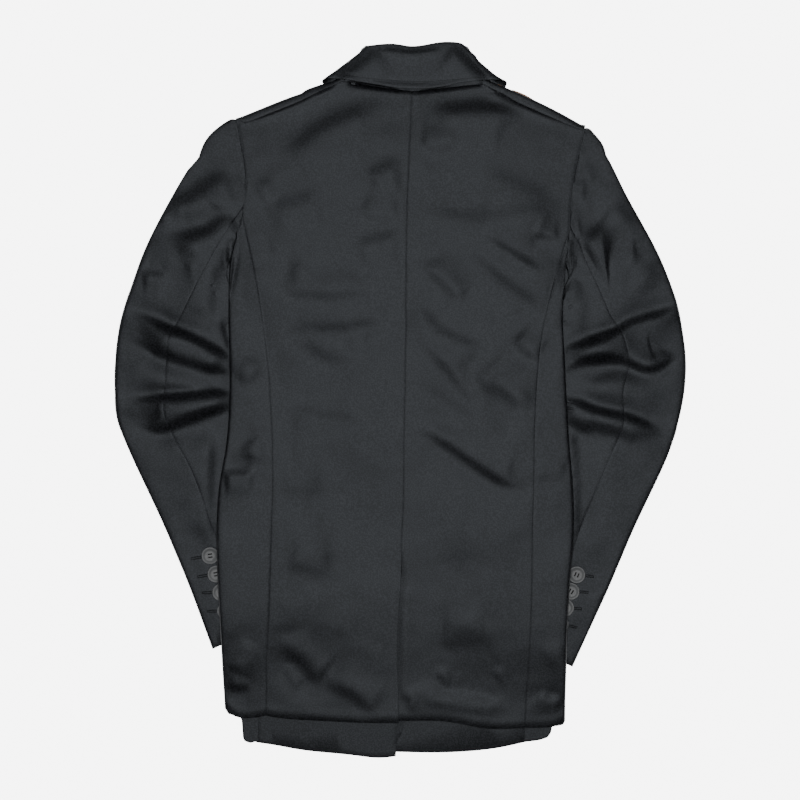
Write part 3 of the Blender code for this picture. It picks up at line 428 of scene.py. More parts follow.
groups = {
    "body": layerGroup(heightTree(bodyNodes), heightTree(("front_left", "front_right")), lapelTree,
                       heightTree(("collar_fall",))),
    "left": sleeveGroup("left", -1),
    "right": sleeveGroup("right", 1),
    "collar": layerGroup(heightTree(("collar_fall",)), heightTree(neckNodes), heightTree(neckNodes)),
    "neck": layerGroup(heightTree(("collar_stand",)), None, lapelTree, heightTree(("collar_fall",))),
}
# a place whose lowest cloth is higher than this has nothing of its own group under it
alone = 3.2
freeLift = 9.0
nearby = ((0, 0), (0.7, 0), (-0.7, 0), (0, 0.7), (0, -0.7), (1.6, 0), (-1.6, 0), (0, 1.6), (0, -1.6))


def layers(points, group, rims):
    # for each point its share in the upper layer, and how far that layer may sink and rise
    share, sink, lift = np.ones(len(points)), np.zeros(len(points)), np.full(len(points), freeLift)
    lost, rims = [], set(rims)
    for k, (x, y, z) in enumerate(points):
        if k in rims:
            lost.append(k)
            continue
        for dx, dy in nearby:
            top = heightFrom(group["whole"], x + dx, y + dy, above, False)
            low = heightFrom(group["whole"], x + dx, y + dy, below, True)
            if top is not None and low is not None and low - 0.8 < z < top + 0.8:
                break
        else:
            lost.append(k)
            continue
        if low > alone:
            floorLevel = heightFrom(group["beneath"], x, y, low - 0.1, False) if group["beneath"] else None
            share[k], sink[k] = 1.0, low - (floorLevel or 0) - 0.2
            cover = heightFrom(group["over"], x, y, top - 0.5, True) if group["over"] else None
            lift[k] = freeLift if cover is None else max(cover - top - 0.3, 0)
            continue
        under = heightFrom(group["under"], x, y, top - 1.0, False) if group["under"] else None
        under = low + wall if under is None or under > top - wall else under
        room = top - low - 2 * wall
        t = min(max((z - low - wall) / max(room, 0.3), 0), 1) if room > 0.4 else 0.0
        share[k] = t * t * (3 - 2 * t)
        sink[k] = max(top - wall - under - 0.15, 0)
        cover = heightFrom(group["over"], x, y, top - 0.5, True) if group["over"] else None
        if cover is not None:
            lift[k] = max(cover - top - 0.3, 0)
        elif group["edge"]:
            away = group["sign"] * (x - group["edge"](y))
            if away < 4 and y < 150:
                lift[k] = 0.3 + 7 * max(away / 4, 0)
    if lost:
        missing = set(lost)
        found = [k for k in range(len(points)) if k not in missing]
        near = KDTree(len(found))
        for place, k in enumerate(found):
            near.insert(points[k], place)
        near.balance()
        for k in lost:
            other = found[near.find(points[k])[1]]
            share[k], sink[k], lift[k] = share[other], sink[other], lift[other]
    return share, sink, lift


def evened(group, step=3.0, spread=14.0, fine=4.5, level=5.0):
    # a grid of how much the upper layer must rise to even out the steps of what lies beneath it
    xs, ys = np.arange(-216, 226, step), np.arange(-380, 366, step)
    raw = np.array([[heightFrom(group["whole"], x, y, above, False) or 0 for x in xs] for y in ys])
    raw = np.median([np.roll(raw, (i, j), (0, 1)) for i in (-2, -1, 0, 1, 2) for j in (-2, -1, 0, 1, 2)], axis=0)
    mask = (raw > level).astype(float)

    def blurred(grid, spread):
        kernel = np.exp(-0.5 * (np.arange(-3 * spread, 3 * spread + step, step) / spread) ** 2)
        kernel /= kernel.sum()
        for axis in (0, 1):
            grid = np.apply_along_axis(lambda row: np.convolve(row, kernel, mode="same"), axis, grid)
        return grid

    cover = blurred(mask, spread)
    inside = mask * np.clip((cover - 0.85) / 0.1, 0, 1)
    change = (blurred(raw * mask, spread) / np.maximum(cover, 1e-6) - raw) * inside
    return xs[0], ys[0], step, blurred(change, fine)


def fromGrid(grid, xy):
    # the grid's value at each place, between its four nearest points
    x0, y0, step, values = grid
    u = np.clip((xy[:, 0] - x0) / step, 0, values.shape[1] - 1.001)
    v = np.clip((xy[:, 1] - y0) / step, 0, values.shape[0] - 1.001)
    i, j = v.astype(int), u.astype(int)
    a, b = v - i, u - j
    return ((1 - a) * (1 - b) * values[i, j] + (1 - a) * b * values[i, j + 1] + a * (1 - b) * values[i + 1, j]
            + a * b * values[i + 1, j + 1])


bodyEvening = evened(groups["body"])


def softLimit(rise, low, high, blur=0.3):
    rise = low + np.logaddexp(0, (rise - low) / blur) * blur
    return high - np.logaddexp(0, (high - rise) / blur) * blur


# ---- cloth pieces, each on the form of its solid
def only(piece):
    bpy.ops.object.select_all(action="DESELECT")
    piece.select_set(True)
    bpy.context.view_layer.objects.active = piece


def smoothCopy(node, name, levels):
    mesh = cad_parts[node].data.copy()
    piece = bpy.data.objects.new(name, mesh)
    bpy.context.scene.collection.objects.link(piece)
    only(piece)
    bpy.ops.object.mode_set(mode="EDIT")
    bpy.ops.mesh.select_all(action="SELECT")
    bpy.ops.mesh.remove_doubles(threshold=0.00003)
    bpy.ops.mesh.customdata_custom_splitnormals_clear()
    bpy.ops.mesh.tris_convert_to_quads(face_threshold=radians(60), shape_threshold=radians(60))
    bpy.ops.mesh.select_all(action="DESELECT")
    bpy.ops.object.mode_set(mode="OBJECT")
    shape = bmesh.new()
    shape.from_mesh(mesh)
    crease = shape.edges.layers.float.new("crease_edge")
    for edge in shape.edges:
        if edge.is_manifold and edge.calc_face_angle() > rimAngle:
            edge[crease] = 1.0
    corner = shape.verts.layers.float.new("crease_vert")
    for vertex in shape.verts:
        rims = [edge.other_vert(vertex).co - vertex.co for edge in vertex.link_edges
                if edge[crease] and abs(edge.other_vert(vertex).co.z - vertex.co.z) < 0.6 * hypot(
                    *(edge.other_vert(vertex).co - vertex.co).xy)]
        if len(rims) == 2 and rims[0].xy.angle(-rims[1].xy, 0) > cornerAngle:
            vertex[corner] = 1.0
    shape.to_mesh(mesh)
    shape.free()
    kept, rims = meshPoints(piece), rimVertices(piece)
    trial = bpy.data.objects.new("trial", mesh.copy())
    bpy.context.scene.collection.objects.link(trial)
    only(trial)
    rounded(trial, 2)
    drift = kept - meshPoints(trial)[:len(kept)]
    bpy.data.objects.remove(trial)
    amount = np.full(len(kept), 0.7)
    amount[rims] = 1.0
    far = np.maximum(np.hypot(*drift[:, :2].T), 0.001)
    moved = kept.copy()
    moved[:, :2] += drift[:, :2] * (amount * np.minimum(driftLimit / far, 1))[:, None]
    setPoints(piece, moved)
    only(piece)
    rounded(piece, levels)
    return piece


def rounded(piece, levels):
    rounding = piece.modifiers.new("rounding", "SUBSURF")
    rounding.levels = rounding.render_levels = levels
    bpy.ops.object.modifier_apply(modifier="rounding")


rimAngle = radians(62)
cornerAngle = radians(38)
driftLimit = 4.0


def meshPoints(piece):
    flat = np.empty(len(piece.data.vertices) * 3)
    piece.data.vertices.foreach_get("co", flat)
    return flat.reshape(-1, 3) / mm


def setPoints(piece, points):
    piece.data.vertices.foreach_set("co", (points * mm).ravel())
    piece.data.update()


def rimEdges(piece):
    # the edges of the cloth's cut sides, as pairs of vertices
    shape = bmesh.new()
    shape.from_mesh(piece.data)
    found = [tuple(v.index for v in e.verts) for e in shape.edges if e.is_manifold and e.calc_face_angle() > rimAngle]
    shape.free()
    return found


def rimVertices(piece):
    return sorted({k for edge in rimEdges(piece) for k in edge})


def awayFrom(points, targets, limit=30.0):
    # how far each point is from the nearest target
    away = np.full(len(points), limit)
    if len(targets) == 0:
        return away
    tree = KDTree(len(targets))
    for k, target in enumerate(targets):
        tree.insert(target, k)
    tree.balance()
    for k, point in enumerate(points):
        away[k] = min(tree.find(point)[2], limit)
    return away


seamLook = {"depth": 0.12, "width": 1.4}
hemLook = {"depth": 0.85, "width": 2.7, "ridge": 0.25, "ridgeAt": 8.0, "ridgeWidth": 4.0}


def hemRims(node, points, rims, share):
    # the rims that are a hem, not a seam: nothing of their layer lies lower beside them
    limit = -215 if node.startswith("sleeve") else -345
    low = [k for k in rims if points[k, 1] < limit]
    found = []
    for k in low:
        beside = [j for j in low if abs(points[j, 0] - points[k, 0]) < 3 and abs(share[j] - share[k]) < 0.5]
        if min(points[j, 1] for j in beside) > points[k, 1] - 2.6:
            found.append(k)
    return found


# where the lower layers' hems run in the solids, and where they are drawn to
underHems = {
    "side_left": (((-198.9, -350), (-196, -352.7), (-178.4, -369), (-161.6, -389.2)),
                  ((-198.9, -350), (-195.5, -356.5), (-188, -359), (-181.6, -360.6), (-180, -363.4),
                   (-179, -375), (-178.6, -384.5), (-176.5, -388), (-171.5, -389.6), (-161.6, -390.2))),
    "side_right": (((187.6, -364.5), (184.5, -367.1), (167.6, -381.3), (141.6, -388.7)),
                   ((187.6, -364.5), (185.5, -368.6), (179, -369.8), (172.6, -370.4), (172.2, -373),
                    (171, -380), (168, -383.4), (159, -385.9), (141.6, -388.7))),
}


def lengthsAlong(line):
    return np.concatenate([[0], np.cumsum(np.hypot(*np.diff(line, axis=0).T))])


def alongLine(line, share):
    # places at given shares of a line's length
    line = np.array(line, dtype=float)
    length = lengthsAlong(line)
    return np.column_stack([np.interp(np.asarray(share) * length[-1], length, line[:, k]) for k in (0, 1)])


# how far the cloth is drawn sideways and along, with the width and the line, so that outlines and seams meet
# the photo's
shoulderShifts = [
    (0, -2.6, 3.2, (-182, 312.5), (-172, 317), (-147, 328), (-115, 341), (-84, 355), (-66, 361)),
    (0, -2.8, 3.2, (216, 303), (200, 311), (177, 321), (150, 333), (130, 342), (118, 347.5)),
    (-0.5, 2.6, 4.0, (-112, 348), (-98, 354), (-80, 361)),
]
collarEdge = ((68, 414), (76, 402), (84, 392), (93, 383), (102, 374), (111, 367), (119, 360))
capShifts = {
    "sleeve_top_left": [(-1.2, 11.5, 8.5, (-172, 314), (-188, 311), (-203, 299), (-216, 287), (-228, 276)),
                       (0.6, -2.8, 5.0, (-241, 262), (-229, 275), (-219, 286), (-208, 295), (-198, 302))],
    "sleeve_top_right": [(2.4, 5.6, 8.0, (198, 312), (208, 308), (216, 303), (223, 297), (230, 287), (234, 278))],
    "collar_stand": [(-5.0, 0, 5.0, *collarEdge)],
    "collar_fall": [(-5.0, 0, 5.0, *collarEdge),
                    (-2.6, -0.8, 5.0, (86, 390), (92, 384), (102, 374), (112, 366), (124, 357)),
                    (0, -3.3, 3.5, (-58, 362), (-25, 357.5), (12, 356.4), (40, 357.5), (66, 360.5)),
                    (0.8, -0.8, 4.5, (-80, 366), (-66, 376), (-52, 388), (-42, 398))],
}
seamHold = 4.0
shiftHold = 3.4
seamTops = [(0, 5.0, 4.5, (-193, 314), (-185.5, 311), (-178, 315)),
            (0, 1.6, 4.0, (216, 303), (210, 306), (204, 309))]
lapShift = [(4.5, 0, 9, (-2, -336), (0, -352), (1, -366), (0, -384)),
            (-2.4, 0, 7, (0, -380), (-1, -394), (-2, -408), (-3, -430))]


def pulledHem(points, share, lines, reach=14.0):
    # draws the lower layer's hem from one line to another, and the cloth above it with it
    steps = np.linspace(0, 1, 120)
    was, will = alongLine(lines[0], steps), alongLine(lines[1], steps)
    for k in np.where((share < 0.4) & (points[:, 1] < -300))[0]:
        away = np.hypot(*(was - points[k, :2]).T)
        best = np.argmin(away)
        held = min(abs(points[k, 0] - lines[0][-1][0]) / seamHold, 1)
        points[k, :2] += (will[best] - was[best]) * exp(-(away[best] / reach) ** 2) * held


def drawn(points, shifts, kept):
    # moves the cloth sideways along some lines, and leaves what is near the kept places
    held = 1 - np.exp(-(awayFrom(points, kept) / shiftHold) ** 2)
    for dx, dy, width, *line in shifts:
        amount = foldHeights(points[:, :2], [(1, width, *line)], False) * held
        points[:, :2] += amount[:, None] * np.array((dx, dy))


def lapRise(points):
    # lifts the left front over the edge of the right one little by little, where it shows below the hem
    tree = heightTree(("front_left",))
    rise = np.zeros(len(points))
    for k, (x, y) in enumerate(points[:, :2]):
        for dx, dy in nearby:
            low = heightFrom(tree, x + dx, y + dy, below, True)
            if low is not None:
                break
        ramp = min(max((x - lapLook["from"]) / (lapLook["to"] - lapLook["from"]), 0), 1)
        ramp = ramp * ramp * (3 - 2 * ramp)
        shown = min(max((lapLook["above"] - y) / lapLook["fade"], 0), 1)
        rise[k] = max(lapLook["height"] * ramp - (low or 0), 0) * shown
    return rise


lapLook = {"from": -158.0, "to": -72.0, "height": 1.8, "above": -315.0, "fade": 30.0}
# two layers of slow waves, each with its share, its lengths across and along, and its place in the noise
waves = ((1, 52, 38, 0.3), (0.5, 22, 17, 4.1))


def shapedCloth(node, piece, settings):
    points = meshPoints(piece)
    rims = rimVertices(piece)
    share, sink, lift = layers(points, groups[settings["group"]], rims)
    hemKeys = hemRims(node, points, rims, share)
    hems = [points[k] for k in hemKeys]
    seams = [points[k] for k in sorted(set(rims) - set(hemKeys)) if share[k] > 0.6]
    ridges, banks = settings["folds"]
    xy = points[:, :2]
    rise = settings["amount"] * (foldHeights(xy, ridges, False) + foldHeights(xy, banks, True))
    for k, (x, y) in enumerate(xy):
        rise[k] += settings["broad"] * sum(part * noise.noise(Vector((x / across, y / along, depth)))
                                           for part, across, along, depth in waves)
    if settings["group"] == "body":
        rise += fromGrid(bodyEvening, xy)
    rise -= seamLook["depth"] * np.exp(-(awayFrom(points, seams) / seamLook["width"]) ** 2)
    hemGap = awayFrom(points, hems)
    rise -= hemLook["depth"] * np.exp(-(hemGap / hemLook["width"]) ** 2)
    rise += hemLook["ridge"] * np.exp(-((hemGap - hemLook["ridgeAt"]) / hemLook["ridgeWidth"]) ** 2)
    rise = softLimit(rise, -sink, lift)
    points[:, 2] = np.maximum(points[:, 2] + rise * share, 0)
    if node in underHems:
        pulledHem(points, share, underHems[node])
    setPoints(piece, points)


def roundedRims(piece, width=0.42):
    # the cut edges of the wall, rounded
    rims = {tuple(sorted(edge)) for edge in rimEdges(piece)}
    only(piece)
    bpy.ops.object.mode_set(mode="EDIT")
    bpy.ops.mesh.select_mode(type="EDGE")
    bpy.ops.mesh.select_all(action="DESELECT")
    bpy.ops.object.mode_set(mode="OBJECT")
    for edge in piece.data.edges:
        edge.select = tuple(sorted(edge.vertices)) in rims
    bpy.ops.object.mode_set(mode="EDIT")
    bpy.ops.mesh.bevel(offset=width * mm, segments=2, profile=0.6, clamp_overlap=True)
    bpy.ops.object.mode_set(mode="OBJECT")


def keptOffFloor(piece):
    points = meshPoints(piece)
    points[:, 2] = np.maximum(points[:, 2], 0)
    setPoints(piece, points)


def clothArea(piece):
    return sum(face.area for face in piece.data.polygons) / 2


def finished(piece, material, slot, *nodes):
    piece.data.materials.clear()
    piece.data.materials.append(material)
    only(piece)
    bpy.ops.object.shade_smooth_by_angle(angle=radians(50))
    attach(piece, "root")
    if nodes:
        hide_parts(*nodes)


# for the piece on each solid: its levels of rounding, which layers it belongs to, its folds and how strong they
# are, its slow waves, and the size that its cloth was cut to
def clothRow(levels, group, folds, amount, broad, cut):
    return {"levels": levels, "group": group, "folds": folds, "amount": amount, "broad": broad, "cut": cut}


bodyFolds = (bodyRidges, bodyBanks)
leftFolds = (leftSleeveRidges, leftSleeveBanks)
rightFolds = (rightSleeveRidges, rightSleeveBanks)
clothPieces = {
    "back_left": clothRow(3, "body", bodyFolds, 1.35, 0.4, (0.19, 0.735)),
    "back_right": clothRow(3, "body", bodyFolds, 1.35, 0.4, (0.21, 0.735)),
    "side_left": clothRow(3, "body", bodyFolds, 1.35, 0.4, (0.105, 0.6)),
    "side_right": clothRow(3, "body", bodyFolds, 1.35, 0.4, (0.09, 0.6)),
    "front_left": clothRow(2, None, None, 1, 0.0, (0.2, 0.78)),
    "front_right": clothRow(2, None, None, 1, 0.0, (0.24, 0.78)),
    "sleeve_top_left": clothRow(3, "left", leftFolds, 1.0, 0.4, (0.2, 0.64)),
    "sleeve_top_right": clothRow(3, "right", rightFolds, 1.0, 0.4, (0.205, 0.66)),
    "sleeve_under_left": clothRow(3, "left", leftFolds, 1.0, 0.4, (0.13, 0.55)),
    "sleeve_under_right": clothRow(3, "right", rightFolds, 1.0, 0.4, (0.13, 0.55)),
    "collar_fall": clothRow(3, "collar", (collarRidges, collarBanks), 1.0, 0.2, (0.36, 0.07)),
    "collar_stand": clothRow(3, "neck", (neckRidges, []), 1.0, 0.0, (0.17, 0.045)),
    "lapel_left": clothRow(2, None, None, 1, 0.0, (0.1, 0.3)),
    "lapel_right": clothRow(2, None, None, 1, 0.0, (0.09, 0.29)),
}
cloth = {}
for node, settings in clothPieces.items():
    piece = smoothCopy(node, node + "_cloth", settings["levels"])
    if settings["group"]:
        shapedCloth(node, piece, settings)
    if node.startswith(("back", "front")) or node in capShifts:
        points = meshPoints(piece)
        kept = []
        if node.startswith("sleeve"):
            kept = [tuple(v.co / mm) for other in ("front_", "back_")
                    for v in cloth[other + node.split("_")[-1]].data.vertices]
        drawn(points, capShifts.get(node, shoulderShifts), kept)
        if not node.startswith("collar"):
            drawn(points, seamTops, [])
        if node == "front_left":
            drawn(points, lapShift, kept)
            points[:, 2] += lapRise(points)
        setPoints(piece, points)
    cloth[node] = piece
print("cloth is shaped")


# ---- seams: the rims of two pieces that are sewn meet
def closedSeams(pieces, reach=1.1, level=0.8, lap=0.1):
    # brings the rims together, and gives the places of each upper seam by its pair of pieces
    owners, places, seams = [], [], {}
    moves = {name: meshPoints(piece) for name, piece in pieces.items()}
    rims = {name: rimEdges(piece) for name, piece in pieces.items()}
    for name, edges in rims.items():
        for a, b in edges:
            for share in (0, 0.25, 0.5, 0.75, 1):
                owners.append(name)
                places.append(moves[name][a] * (1 - share) + moves[name][b] * share)
    tree = KDTree(len(places))
    for k, place in enumerate(places):
        tree.insert(place, k)
    tree.balance()
    for name, edges in rims.items():
        for k in sorted({k for edge in edges for k in edge}):
            place = moves[name][k].copy()
            others = [(away, found, owners[other]) for found, other, away in tree.find_range(place, reach)
                      if owners[other] != name and abs(found[2] - place[2]) < level]
            if others:
                away, found, other = min(others, key=lambda row: row[0])
                moves[name][k] += (np.array(found) - place) * 0.5 * (1 + lap / max(away, 0.05))
                if place[2] > 2.8:
                    seams.setdefault(tuple(sorted((name, other))), []).append(moves[name][k].copy())
    for name, piece in pieces.items():
        setPoints(piece, moves[name])
        keptOffFloor(piece)
    return seams


allowance = {"half": 5.0, "thick": 0.25, "step": 6.0, "below": 1.3}


def seamAllowance(name, pair, places, look):
    # the two turnings of a seam, as a thin strip under the cloth
    places = np.array(places)
    axis = 1 if np.ptp(places[:, 1]) > np.ptp(places[:, 0]) else 0
    cuts = np.arange(places[:, axis].min(), places[:, axis].max() + look["step"], look["step"])
    bins = [places[(places[:, axis] >= a) & (places[:, axis] < a + look["step"])] for a in cuts]
    line = np.array([found.mean(axis=0) for found in bins if len(found)])
    if len(line) < 3:
        return None
    tree = clothTree(*(cloth[node] for node in pair))
    ahead = np.gradient(line[:, :2], axis=0)
    ahead /= np.hypot(*ahead.T)[:, None]
    points = []
    for (x, y, z), (dx, dy) in zip(line, ahead):
        for across in (-1, 1):
            px, py = x - dy * across * look["half"], y + dx * across * look["half"]
            top = min(onCloth(tree, px, py, z), z + 0.6) - look["below"]
            points += [(px, py, top), (px, py, top - look["thick"])]
    return ribbon(name, points)


def ribbon(name, points):
    # a thin strip through places in groups of four: one side's top and bottom, then the other's
    faces = [(0, 1, 3, 2), (len(points) - 4, len(points) - 2, len(points) - 1, len(points) - 3)]
    for a in range(0, len(points) - 4, 4):
        b = a + 4
        faces += [(a, a + 2, b + 2, b), (a + 1, b + 1, b + 3, a + 3), (a, b, b + 1, a + 1),
                  (a + 2, a + 3, b + 3, b + 2)]
    mesh = bpy.data.meshes.new(name)
    mesh.from_pydata([tuple(c * mm for c in point) for point in points], [], faces)
    piece = bpy.data.objects.new(name, mesh)
    bpy.context.scene.collection.objects.link(piece)
    only(piece)
    bpy.ops.object.mode_set(mode="EDIT")
    bpy.ops.mesh.select_all(action="SELECT")
    bpy.ops.mesh.normals_make_consistent(inside=False)
    bpy.ops.object.mode_set(mode="OBJECT")
    return piece


def onCloth(tree, x, y, default=6.0):
    height = heightFrom(tree, x, y, above, False)
    return default if height is None else height


seams = closedSeams(cloth)
goingWith = {node: [] for node in cloth}
for pair, places in sorted(seams.items()):
    strip = seamAllowance("_and_".join(pair) + "_turnings", pair, places, allowance)
    if strip:
        keptOffFloor(strip)
        finished(strip, satin, "charcoal_satin")
        goingWith[pair[0]].append(strip)
for node, piece in cloth.items():
    roundedRims(piece)
    keptOffFloor(piece)
    finished(piece, satin, "charcoal_satin", node)
    print(node, "has", len(piece.data.polygons), "faces, area", round(clothArea(piece), 4))

# thin turnings inside the jacket, which close the gaps at the armholes and under the collar: the cloth that each
# goes with, its middle, half its width and length, its turn and its level
innerTurnings = {
    "left": ("side_left", -184.0, 139.0, 18.0, 26.0, 6, 0.35),
    "right": ("side_right", 179.5, 137.0, 18.0, 26.0, -8, 0.35),
    "neck": ("back_right", 12.5, 349.5, 10.0, 5.0, 0, 1.6),
    "collar": ("back_left", -55, 360.5, 9.0, 4.0, -16, 0.7),
}
turningsThick = 0.3
for side, (owner, x, y, halfWidth, halfHeight, turn, level) in innerTurnings.items():
    bpy.ops.mesh.primitive_cylinder_add(vertices=28, radius=1, depth=1)
    patch = bpy.context.object
    patch.name = "underarm_turnings_" + side
    patch.scale = (halfWidth * mm, halfHeight * mm, turningsThick * mm)
    patch.rotation_euler = (0, 0, radians(turn))
    patch.location = (x * mm, y * mm, level * mm)
    bpy.ops.object.transform_apply(location=True, rotation=True, scale=True)
    finished(patch, satin, "charcoal_satin")
    goingWith[owner].append(patch)


# ---- the sliver of lining at the right shoulder
liningLook = {"dark": (0.22, 0.088, 0.022), "light": (0.30, 0.130, 0.036), "rough": 0.5, "specular": 0.05,
              "shift": (-0.9, -2.4, 0), "cut": (0.029, 0.011), "area": 0.00011}


def plainMaterial(name, look, pattern):
    # a pattern between two colours, with one roughness all over
    material, shader, place = newMaterial(name)
    colour = mixed(place, pattern(place), look["dark"], look["light"])
    place.tree.links.new(colour.socket, shader.inputs["Base Color"])
    shader.inputs["Roughness"].default_value = look["rough"]
    shader.inputs["Specular IOR Level"].default_value = look["specular"]
    return material


peach = plainMaterial("peachLining", liningLook, lambda place: clouds(place, 300, 2))
lining = smoothCopy("lining_shoulder", "lining_edge", 2)
setPoints(lining, meshPoints(lining) + np.array(liningLook["shift"]))
finished(lining, peach, "peach_lining", "lining_shoulder")
# its rim, which shows along the shoulder as a thin line: its places, each with half its width there, and how far
# across and down the cloth its width runs
rimPlaces = ((107, 359.0, 0.6), (112, 357.2, 0.9), (120.2, 353.3, 1.2), (126.7, 350.1, 1.3), (137.8, 344.6, 1.0),
             (147.6, 339.8, 0.8), (160.5, 333.6, 0.5))
rimAcross = (0.42, 0.9)
rimLevels = (3.0, 2.5)
points = []
for x, y, half in rimPlaces:
    for across in (-half, half):
        points += [(x + rimAcross[0] * across, y + rimAcross[1] * across, level) for level in rimLevels]
liningRim = ribbon("lining_rim", points)
finished(liningRim, peach, "peach_lining")


# ---- buttons
buttonLook = {"radius": 9.6, "thick": 2.0, "rim": 2.0, "step": 0.7, "dish": 0.6, "floor": 2.2, "edge": 0.45,
              "holeAt": 1.75, "hole": 0.85, "light": (0.085, 0.088, 0.09), "dark": (0.06, 0.062, 0.064),
              "rough": 0.36, "specular": 0.16}
threadLook = {"thick": 0.66, "flat": 0.36, "sunk": 0.35, "ply": 0.0004, "plyTurn": 30,
              "dark": (0.0012, 0.0013, 0.0014), "light": (0.003, 0.0032, 0.0034), "rough": 0.6, "specular": 0.1}
frontLook = dict(buttonLook, radius=11.5, thick=1.8, rim=2.4, holeAt=2.1)
buttonTurns = {"left": (8, 14, 20, 12), "right": (68, 58, 65, 60)}


thread = plainMaterial("charcoalThread", threadLook,
                       lambda place: twill(place, radians(threadLook["plyTurn"]), threadLook["ply"]))


def selectFaces(piece, test):
    bpy.ops.object.mode_set(mode="OBJECT")
    for face in piece.data.polygons:
        face.select = test(face)
    bpy.ops.object.mode_set(mode="EDIT")


def buttonModel(look):
    # a disc with a raised rim, a dished middle and four holes
    bpy.ops.mesh.primitive_cylinder_add(vertices=56, radius=look["radius"] * mm, depth=look["thick"] * mm)
    button = bpy.context.object
    only(button)
    bpy.ops.object.mode_set(mode="EDIT")
    bpy.ops.mesh.select_mode(type="FACE")
    selectFaces(button, lambda face: face.normal.z > 0.9)
    bpy.ops.mesh.inset(thickness=look["rim"] * mm)
    bpy.ops.mesh.inset(thickness=look["step"] * mm)
    bpy.ops.transform.translate(value=(0, 0, -look["dish"] * mm))
    bpy.ops.mesh.inset(thickness=look["floor"] * mm)
    bpy.ops.object.mode_set(mode="OBJECT")
    soft = button.modifiers.new("edge", "BEVEL")
    soft.width = look["edge"] * mm
    soft.segments = 3
    soft.angle_limit = radians(50)
    bpy.ops.object.modifier_apply(modifier="edge")
    for dx in (-1, 1):
        for dy in (-1, 1):
            bpy.ops.mesh.primitive_cylinder_add(vertices=16, radius=look["hole"] * mm, depth=3 * look["thick"] * mm,
                                                location=(dx * look["holeAt"] * mm, dy * look["holeAt"] * mm, 0))
            drill = bpy.context.object
            only(button)
            cut = button.modifiers.new("hole", "BOOLEAN")
            cut.object = drill
            cut.solver = "EXACT"
            bpy.ops.object.modifier_apply(modifier="hole")
            bpy.data.objects.remove(drill)
    return button


def threadLoops(look, yarn):
    # two loops of thread, each through a pair of holes
    loops = []
    for dy in (-1, 1):
        bpy.ops.mesh.primitive_torus_add(major_segments=24, minor_segments=8, major_radius=look["holeAt"] * mm,
                                         minor_radius=yarn["thick"] * mm, location=(0, 0, 0), rotation=(pi / 2, 0, 0))
        loop = bpy.context.object
        loop.scale = (1, yarn["flat"], 1)
        loop.location = (0, dy * look["holeAt"] * mm, (look["thick"] / 2 - look["dish"] - yarn["sunk"]) * mm)
        bpy.ops.object.transform_apply(location=True, rotation=True, scale=True)
        loops.append(loop)
    bpy.ops.object.select_all(action="DESELECT")
    for loop in loops:
        loop.select_set(True)
    bpy.context.view_layer.objects.active = loops[0]
    bpy.ops.object.join()
    return bpy.context.object


def placedCopy(model, name, turn, centre):
    piece = bpy.data.objects.new(name, model.data.copy())
    bpy.context.scene.collection.objects.link(piece)
    piece.data.transform(Matrix.Translation(centre) @ Matrix.Rotation(turn, 4, "Z"))
    return piece


horn = plainMaterial("buttonHorn", buttonLook,
                     lambda place: clouds(stretched(place, (90, 160, 90), 0.6), 1, 3, 0.6))
buttonDisc = buttonModel(buttonLook)
buttonThread = threadLoops(buttonLook, threadLook)
buttonPlaces = {}
for side, turns in buttonTurns.items():
    for k, turn in enumerate(turns, start=1):
        node = f"button_{side}_{k}"
        low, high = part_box(node)
        centre = (Vector(low) + Vector(high)) / 2
        buttonPlaces[side, k] = centre
        disc = placedCopy(buttonDisc, node + "_disc", radians(turn), centre)
        finished(disc, horn, "button_horn", node)
        loops = placedCopy(buttonThread, node + "_thread", radians(turn), centre)
        finished(loops, thread, "button_horn")
low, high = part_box("button_front")
frontDisc = buttonModel(frontLook)
frontDisc.data.transform(Matrix.Rotation(pi, 4, "X"))
frontDisc.data.transform(Matrix.Translation((Vector(low) + Vector(high)) / 2))
frontDisc.name = "button_front_disc"
finished(frontDisc, horn, "button_horn", "button_front")
bpy.data.objects.remove(buttonDisc)
bpy.data.objects.remove(buttonThread)
print("buttons are made")


# ---- stitches: one small stitch, copied along a line that lies on the cloth
def stitchModel(length, radius):
    bpy.ops.mesh.primitive_uv_sphere_add(segments=6, ring_count=5, radius=1)
    stitch = bpy.context.object
    stitch.scale = (length / 2 * mm, radius * mm, radius * mm * 0.8)
    bpy.ops.object.transform_apply(location=False, rotation=False, scale=True)
    return stitch


def copiesJoined(model, name, matrices):
    # one mesh with a copy of the model at each place
    co = np.array([tuple(v.co) + (1,) for v in model.data.vertices])
    faces = [tuple(face.vertices) for face in model.data.polygons]
    points, joined = [], []
    for matrix in matrices:
        start = len(points)
        points += [tuple(p[:3]) for p in co @ np.array(matrix).T]
        joined += [tuple(start + index for index in face) for face in faces]
    mesh = bpy.data.meshes.new(name)
    mesh.from_pydata(points, [], joined)
    piece = bpy.data.objects.new(name, mesh)
    bpy.context.scene.collection.objects.link(piece)
    return piece


def evenSteps(points, pitch):
    # places at even steps along a line, with the direction at each
    line = curveThrough(points, 12)
    length = lengthsAlong(line)
    at = np.arange(pitch / 2, length[-1], pitch)
    xs, ys = np.interp(at, length, line[:, 0]), np.interp(at, length, line[:, 1])
    ahead = np.column_stack([np.interp(at + 0.5, length, line[:, k]) for k in (0, 1)])
    behind = np.column_stack([np.interp(at - 0.5, length, line[:, k]) for k in (0, 1)])
    turns = np.arctan2(*(ahead - behind).T[::-1])
    return zip(xs, ys, turns)


def stitchMatrix(x, y, z, turn):
    return Matrix.Translation((x * mm, y * mm, z * mm)) @ Matrix.Rotation(turn, 4, "Z")


